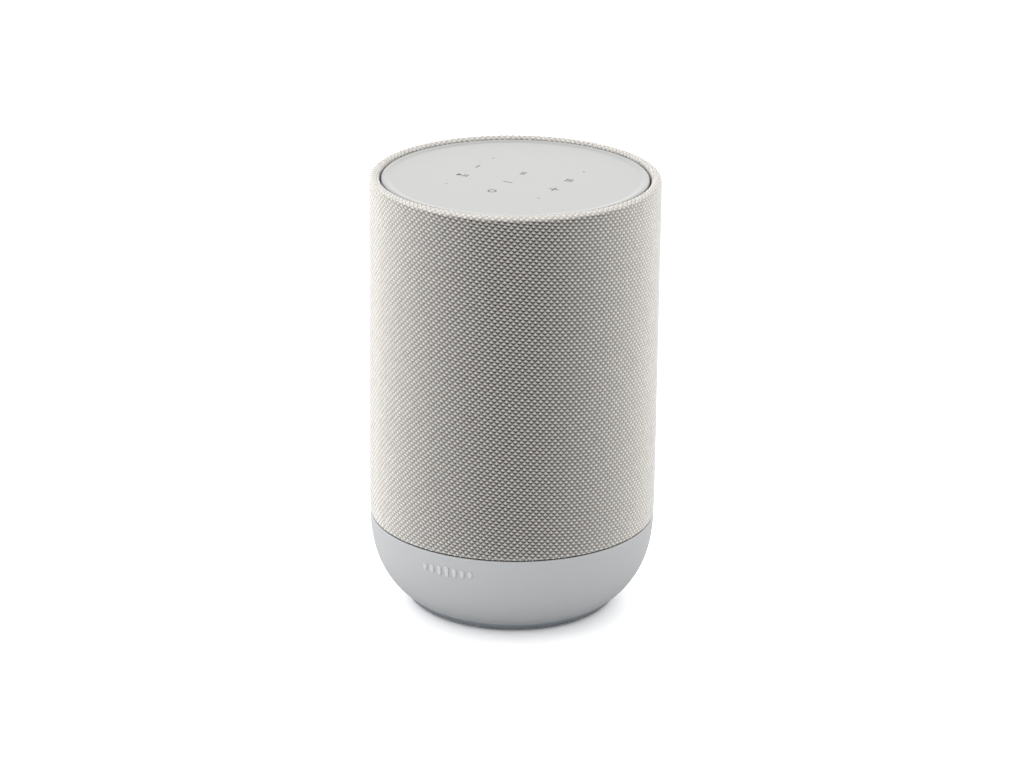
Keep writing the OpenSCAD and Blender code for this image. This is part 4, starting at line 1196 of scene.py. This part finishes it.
@dataclass
class Foot:
    """The plated ring and the rubber pad that the drum stands on."""

    ring_in: float = 47.25
    ring_low_r: float = 49.4
    ring_low_z: float = 1.2
    ring_high_r: float = 51.9
    ring_high_z: float = 4.8
    pad_in: float = 36.0
    pad_out: float = 47.0
    pad_h: float = 2.4
    groove: float = 0.35
    grooves: int = 3
    turn_steps: int = 288

    def build(self, metal: bpy.types.Material, rubber: bpy.types.Material) -> list[bpy.types.Object]:
        """Turns both sections about the axis. The pad's underside carries three ring grooves.

        Args:
            metal: The ring's finish.
            rubber: The pad's finish.

        Returns:
            The ring and the pad.
        """
        inner = rounded([(self.ring_high_r, self.ring_high_z, 0.1), (self.ring_in, self.ring_high_z, 0.1),
                         (self.ring_in, self.ring_low_z, 0.3)])
        swell = np.linspace(0, np.pi / 2, 20)
        face_in, face_top = self.ring_low_r - 0.4, self.ring_high_z - 0.3
        face = np.stack([face_in + (self.ring_high_r - face_in) * np.sin(swell),
                         face_top - (face_top - self.ring_low_z) * np.cos(swell)], -1)
        ring = np.vstack([inner, face])
        across = np.linspace(self.pad_out - 1, self.pad_in + 1, 73)
        along = (across - self.pad_in - 1) / (self.pad_out - self.pad_in - 2)
        wave = np.cos(2 * np.pi * self.grooves * along)
        under = np.stack([across, self.groove * np.clip(-wave, 0, 1) ** 0.5], -1)
        edges = rounded([(self.pad_in, 0.0, 0.6), (self.pad_in, self.pad_h, 0.1),
                         (self.pad_out, self.pad_h, 0.1), (self.pad_out, 0.0, 0.6)])
        ring_piece = crisp(make_piece("plated_foot_ring", *revolve(ring, self.turn_steps)))
        pad = np.vstack([under, edges])
        pad_piece = crisp(make_piece("rubber_foot_pad", *revolve(pad, self.turn_steps)))
        return [place(ring_piece, metal, "trim_metal", "foot_ring"),
                place(pad_piece, rubber, "rubber", "foot_pad")]


@dataclass
class ConnectorBay:
    """What a hand meets in the bay: two push buttons, the microphone switch and the screws."""

    panel_y: float = 49.42
    back_y: float = 46.12
    proud: float = 0.8
    button_r: float = 3.2
    flange_r: float = 4.2
    screw_r: float = 2.1
    flange_h: float = 1.1
    dish_depth: float = 0.28
    ridge_pitch: float = 0.95
    ridge_depth: float = 0.22

    def button(self, name: str, node: str, x: float, z: float,
               material: bpy.types.Material) -> bpy.types.Object:
        """A round button: a flange behind the panel and a cap whose dish is a parabola.

        Args:
            name: The piece's name.
            node: The button's frame node, which is also the body that it rides on.
            x: Across the panel.
            z: Height.
            material: The finish.

        Returns:
            The button.
        """
        top = self.panel_y + self.proud - self.back_y
        dish = np.linspace(0, self.button_r - 0.8, 9)
        crown = np.stack([dish, top - self.dish_depth * (1 - (dish / dish[-1]) ** 2)], -1)
        edge = rounded([(self.button_r - 0.8, top, 0), (self.button_r, top, 0.5),
                        (self.button_r, self.flange_h, 0.05), (self.flange_r, self.flange_h, 0.1),
                        (self.flange_r, 0.0, 0.1), (0.0, 0.0, 0)])
        points, quads = revolve(np.vstack([crown, edge[1:]]), 96)
        points = turned(points, (x, self.back_y, z), (0, 1, 0))
        piece = crisp(make_piece(name, points, outward_closed(points, quads)))
        return place(piece, material, "shell_plastic", node, body=node)

    def switch(self, material: bpy.types.Material) -> bpy.types.Object:
        """The sliding switch: a superellipse cap on a flange, with three grip ridges whose height
        is a cosine across the slide.

        Args:
            material: The finish.

        Returns:
            The switch.
        """
        low, high = box_mm("mic_switch")
        middle, half = (low + high) / 2, (high - low) / 2
        turn = np.linspace(0, 2 * np.pi, 64, endpoint=False)
        across = np.sign(np.cos(turn)) * np.abs(np.cos(turn)) ** 0.3
        up = np.sign(np.sin(turn)) * np.abs(np.sin(turn)) ** 0.3
        cap_x, cap_z = half[0] - 1.0, half[2] - 1.0
        top = high[1] - low[1]
        rows = [(0, 0, 0), (half[0], half[2], 0), (half[0], half[2], 1.0), (cap_x, cap_z, 1.05),
                (cap_x, cap_z, top - 0.35), (cap_x - 0.12, cap_z - 0.12, top - 0.12)]
        rows += [(s * (cap_x - 0.3), s * (cap_z - 0.3), top) for s in np.linspace(1, 0, 14)]
        size_x, size_z, level = (np.array(rows)[:, [k]] for k in range(3))
        x, z = size_x * across, size_z * up
        on_top = np.arange(len(rows))[:, None] > 6
        ridge = self.ridge_depth * (np.cos(2 * np.pi * x / self.ridge_pitch) - 1) / 2 * on_top
        points = np.stack([middle[0] + x, low[1] + level + ridge, middle[2] + z], -1).reshape(-1, 3)
        quads = outward_closed(points, grid_quads(len(rows), len(turn), True))
        piece = crisp(make_piece("microphone_switch_cap", points, quads), 50)
        return place(piece, material, "shell_plastic", "mic_switch", body="mic_switch")

    def screws(self, material: bpy.types.Material) -> bpy.types.Object:
        """The panel's pan-head screws: a dome on a polar grid with a cross-shaped recess, whose
        depth falls from the middle outwards, and a plain shank.

        Args:
            material: The screws' finish.

        Returns:
            Both screws, as one piece.
        """
        low, high = box_mm("panel_screws")
        head = high[1] - self.panel_y
        ring = np.linspace(0, 1, 34)[:, None] * self.screw_r
        turn = np.linspace(0, 2 * np.pi, 96, endpoint=False)
        x, y = ring * np.cos(turn), ring * np.sin(turn)
        dome = head - 0.35 * (ring / self.screw_r) ** 2 - 0.45 * np.clip((ring - 1.6) / 0.5, 0, 1) ** 2
        arm = np.clip((0.34 - np.minimum(abs(x), abs(y))) / 0.08, 0, 1) * np.clip((1.2 - ring) / 0.15, 0, 1)
        crown = np.stack([x, y, dome + 0 * x - 0.75 * arm], -1)
        rest = [(self.screw_r, 0.0), (1.3, 0.0), (1.3, low[1] - self.panel_y), (0.0, low[1] - self.panel_y)]
        shank = np.stack([np.stack([r * np.cos(turn), r * np.sin(turn), h + 0 * turn], -1) for r, h in rest])
        points = np.concatenate([crown, shank]).reshape(-1, 3)
        quads = outward_closed(points, grid_quads(len(ring) + len(rest), len(turn), True))
        spots = [(low[0] + self.screw_r, self.panel_y, high[2] - self.screw_r),
                 (high[0] - self.screw_r, self.panel_y, low[2] + self.screw_r)]
        moved = [turned(points, spot, (0, 1, 0)) for spot in spots]
        both = [(placed, outward_closed(placed, quads)) for placed in moved]
        piece = crisp(make_piece("pan_head_panel_screws", *joined(both)))
        return place(piece, material, "plated_steel", "panel_screws")


@dataclass
class Studio:
    """A pale floor, a soft surround that is brighter behind and above than in front, and the camera."""

    target_z: float = 109.5
    distance: float = 1820.1
    azimuth: float = 26.5
    elevation: float = 19.856
    roll: float = 0.62
    lens: float = 131.44
    shift: float = -0.00125
    floor_size: float = 12000.0
    floor_colour: str = "#cccccc"
    exposure: float = 1.38
    front_light: float = 1.42
    back_light: float = 2.65
    top_light: float = -1.15
    left_light: float = 0.3
    panel_power: float = 1.9
    panel_size: float = 0.6
    panel_distance: float = 1.3
    panel_azimuth: float = -45.0
    panel_elevation: float = 11.0

    @staticmethod
    def direction(azimuth: float, elevation: float) -> Vector:
        """The way (sin a cos e, -cos a cos e, sin e) from the object, for angles in degrees."""
        a, e = math.radians(azimuth), math.radians(elevation)
        return Vector((math.sin(a) * math.cos(e), -math.cos(a) * math.cos(e), math.sin(e)))

    def camera(self) -> None:
        """Stands the camera at its distance, azimuth and elevation from the target."""
        back = self.direction(self.azimuth, self.elevation)
        data = bpy.data.cameras.new("camera")
        data.lens, data.sensor_width, data.shift_x = self.lens, 36.0, self.shift
        data.clip_end = 100.0
        camera = bpy.data.objects.new("camera", data)
        bpy.context.scene.collection.objects.link(camera)
        camera.location = Vector((0, 0, self.target_z * MM)) + back * self.distance * MM
        turn = (-back).to_track_quat("-Z", "Y") @ Quaternion((0, 0, 1), math.radians(self.roll))
        camera.rotation_euler = turn.to_euler()
        bpy.context.scene.camera = camera

    def floor(self) -> None:
        """Lays the pale floor, whose paint is very slightly uneven."""
        material, tree = new_material("painted_studio_floor")
        noise = add_node(tree, "TexNoise", None, {"Vector": add_node(tree, "TexCoord").outputs["Object"],
                                                  "Scale": 3.0})
        rough = add_node(tree, "MapRange", None,
                         {"Value": noise.outputs["Fac"], "To Min": 0.6, "To Max": 0.7})
        seen = add_node(tree, "LightPath").outputs["Is Camera Ray"]
        colour = add_node(tree, "Mix", {"data_type": "RGBA"}, {0: seen, 6: linear(self.floor_colour),
                                                               7: (self.exposure,) * 3 + (1.0,)})
        surface = add_node(tree, "BsdfPrincipled", None, {"Base Color": colour.outputs[2],
                                                          "Roughness": rough.outputs["Result"],
                                                          "Specular IOR Level": 0.2})
        add_node(tree, "OutputMaterial", None, {"Surface": surface.outputs["BSDF"]})
        half = self.floor_size / 2
        floor = make_piece("studio_floor", np.array([(-half, -half, 0.0), (half, -half, 0), (half, half, 0),
                                                     (-half, half, 0)]), np.array([[0, 1, 2, 3]]))
        floor.data.materials.append(material)

    def soft_panel(self) -> None:
        """Hangs a square soft light on the left, aimed at the middle of the object."""
        way = self.direction(self.panel_azimuth, self.panel_elevation)
        data = bpy.data.lights.new("soft_panel", "AREA")
        data.energy, data.size = self.panel_power, self.panel_size
        lamp = bpy.data.objects.new("soft_panel", data)
        lamp.location = Vector((0, 0, self.target_z * MM)) + way * self.panel_distance
        lamp.rotation_euler = (-way).to_track_quat("-Z", "Y").to_euler()
        bpy.context.scene.collection.objects.link(lamp)

    def surround(self) -> None:
        """Lights from every side: the strength follows the direction's share towards the back, the
        top and the left, and the backdrop itself is white."""
        world = bpy.data.worlds.new("soft_surround")
        world.use_nodes = True
        tree = world.node_tree
        tree.nodes.clear()
        way = add_node(tree, "TexCoord").outputs["Generated"]
        a = math.radians(self.azimuth)
        back = self.share(tree, way, (-math.sin(a), math.cos(a), 0.0), -1.0, self.front_light,
                          self.back_light)
        top = self.share(tree, way, (0.0, 0.0, 1.0), 0.0, 0.0, self.top_light)
        left = self.share(tree, way, (-math.cos(a), -math.sin(a), 0.0), 0.0, 0.0, self.left_light)
        some = add_node(tree, "Math", {"operation": "ADD"}, {0: back, 1: top})
        total = add_node(tree, "Math", {"operation": "ADD"}, {0: some.outputs[0], 1: left})
        seen = add_node(tree, "LightPath").outputs["Is Camera Ray"]
        level = add_node(tree, "Mix", {"data_type": "FLOAT"}, {0: seen, 2: total.outputs[0], 3: 1.05})
        light = add_node(tree, "Background", None,
                         {"Color": (1.0, 1.0, 1.0, 1.0), "Strength": level.outputs[0]})
        add_node(tree, "OutputWorld", None, {"Surface": light.outputs[0]})
        bpy.context.scene.world = world
        bpy.context.scene.view_settings.view_transform = "Standard"

    @staticmethod
    def share(tree: bpy.types.NodeTree, way: bpy.types.NodeSocket, axis: tuple, start: float, low: float,
              high: float) -> bpy.types.NodeSocket:
        """A strength that rises smoothly from low to high as the direction's dot product with an
        axis goes from start to 1.

        Args:
            tree: The world's node tree.
            way: The socket with the direction.
            axis: The axis, a unit vector.
            start: The dot product at which the rise starts.
            low: The strength before it.
            high: The strength along the axis.

        Returns:
            The socket with the strength.
        """
        dot = add_node(tree, "VectorMath", {"operation": "DOT_PRODUCT"}, {0: way, 1: axis})
        level = add_node(tree, "MapRange", {"interpolation_type": "SMOOTHSTEP"},
                         {"Value": dot.outputs["Value"], "From Min": start, "From Max": 1.0,
                          "To Min": low, "To Max": high})
        return level.outputs["Result"]


class Workshop:
    """Makes each finish once, and dresses the frame nodes that keep their own shape."""

    def __init__(self) -> None:
        """Starts with no materials made."""
        self.made: dict[str, bpy.types.Material] = {}

    def material(self, finish: Any) -> bpy.types.Material:
        """The material of a finish, made on first use.

        Args:
            finish: Any finish, which has a name and a build method.

        Returns:
            The material, the same one each time.
        """
        if finish.name not in self.made:
            self.made[finish.name] = finish.build()
        return self.made[finish.name]

    def dress(self, soften: Mapping[str, float]) -> None:
        """Gives every frame node its finish, and softens the edges of some.

        Args:
            soften: Width of the edge rounding for each node that gets one, in millimetres.
        """
        for name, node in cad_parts.items():
            for place_slot in node.material_slots:
                finish = SLOT_FINISHES[place_slot.material.name.split(".")[0]]
                place_slot.material = self.material(finish)
            if name in soften:
                join = node.modifiers.new("join", "WELD")
                join.merge_threshold = 0.00001
                round_off = node.modifiers.new("edges", "BEVEL")
                round_off.width = soften[name] * MM
                round_off.segments = 3
                round_off.angle_limit = math.radians(40)
                weighted = node.modifiers.new("normals", "WEIGHTED_NORMAL")
                weighted.weight = 100
        log.info("dressed %d frame nodes", len(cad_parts))


def main() -> None:
    """Builds the studio and every piece in order."""
    logging.basicConfig(level=logging.INFO, format="%(message)s")
    studio = Studio()
    studio.camera()
    studio.floor()
    studio.surround()
    studio.soft_panel()
    shop = Workshop()
    shop.dress({"power_inlet": 0.3, "usb_port": 0.15, "aux_jack": 0.2})
    bowl = Bowl()
    shell = shop.material(SHELL_ABS)
    bowl.build(shell)
    LevelBars().build(bowl, shop.material(POLISHED_ABS))
    Sleeve().build(bowl, shop.material(SLOT_FINISHES["sleeve_cloth"]))
    panel = TouchPanel()
    panel.build(shop.material(PANEL_ABS))
    panel.meshes(shop.material(MIC_MESH))
    PanelPrint().build(panel, shop.material(PRINT_INK))
    Foot().build(shop.material(PLATED_RING), shop.material(RUBBER))
    bay = ConnectorBay()
    bay.button("pair_button_cap", "pair_button", 3.0, 33.0, shell)
    bay.button("connect_button_cap", "connect_button", 13.0, 33.0, shell)
    bay.switch(shell)
    bay.screws(shop.material(ZINC))


if __name__ == "__main__":
    main()
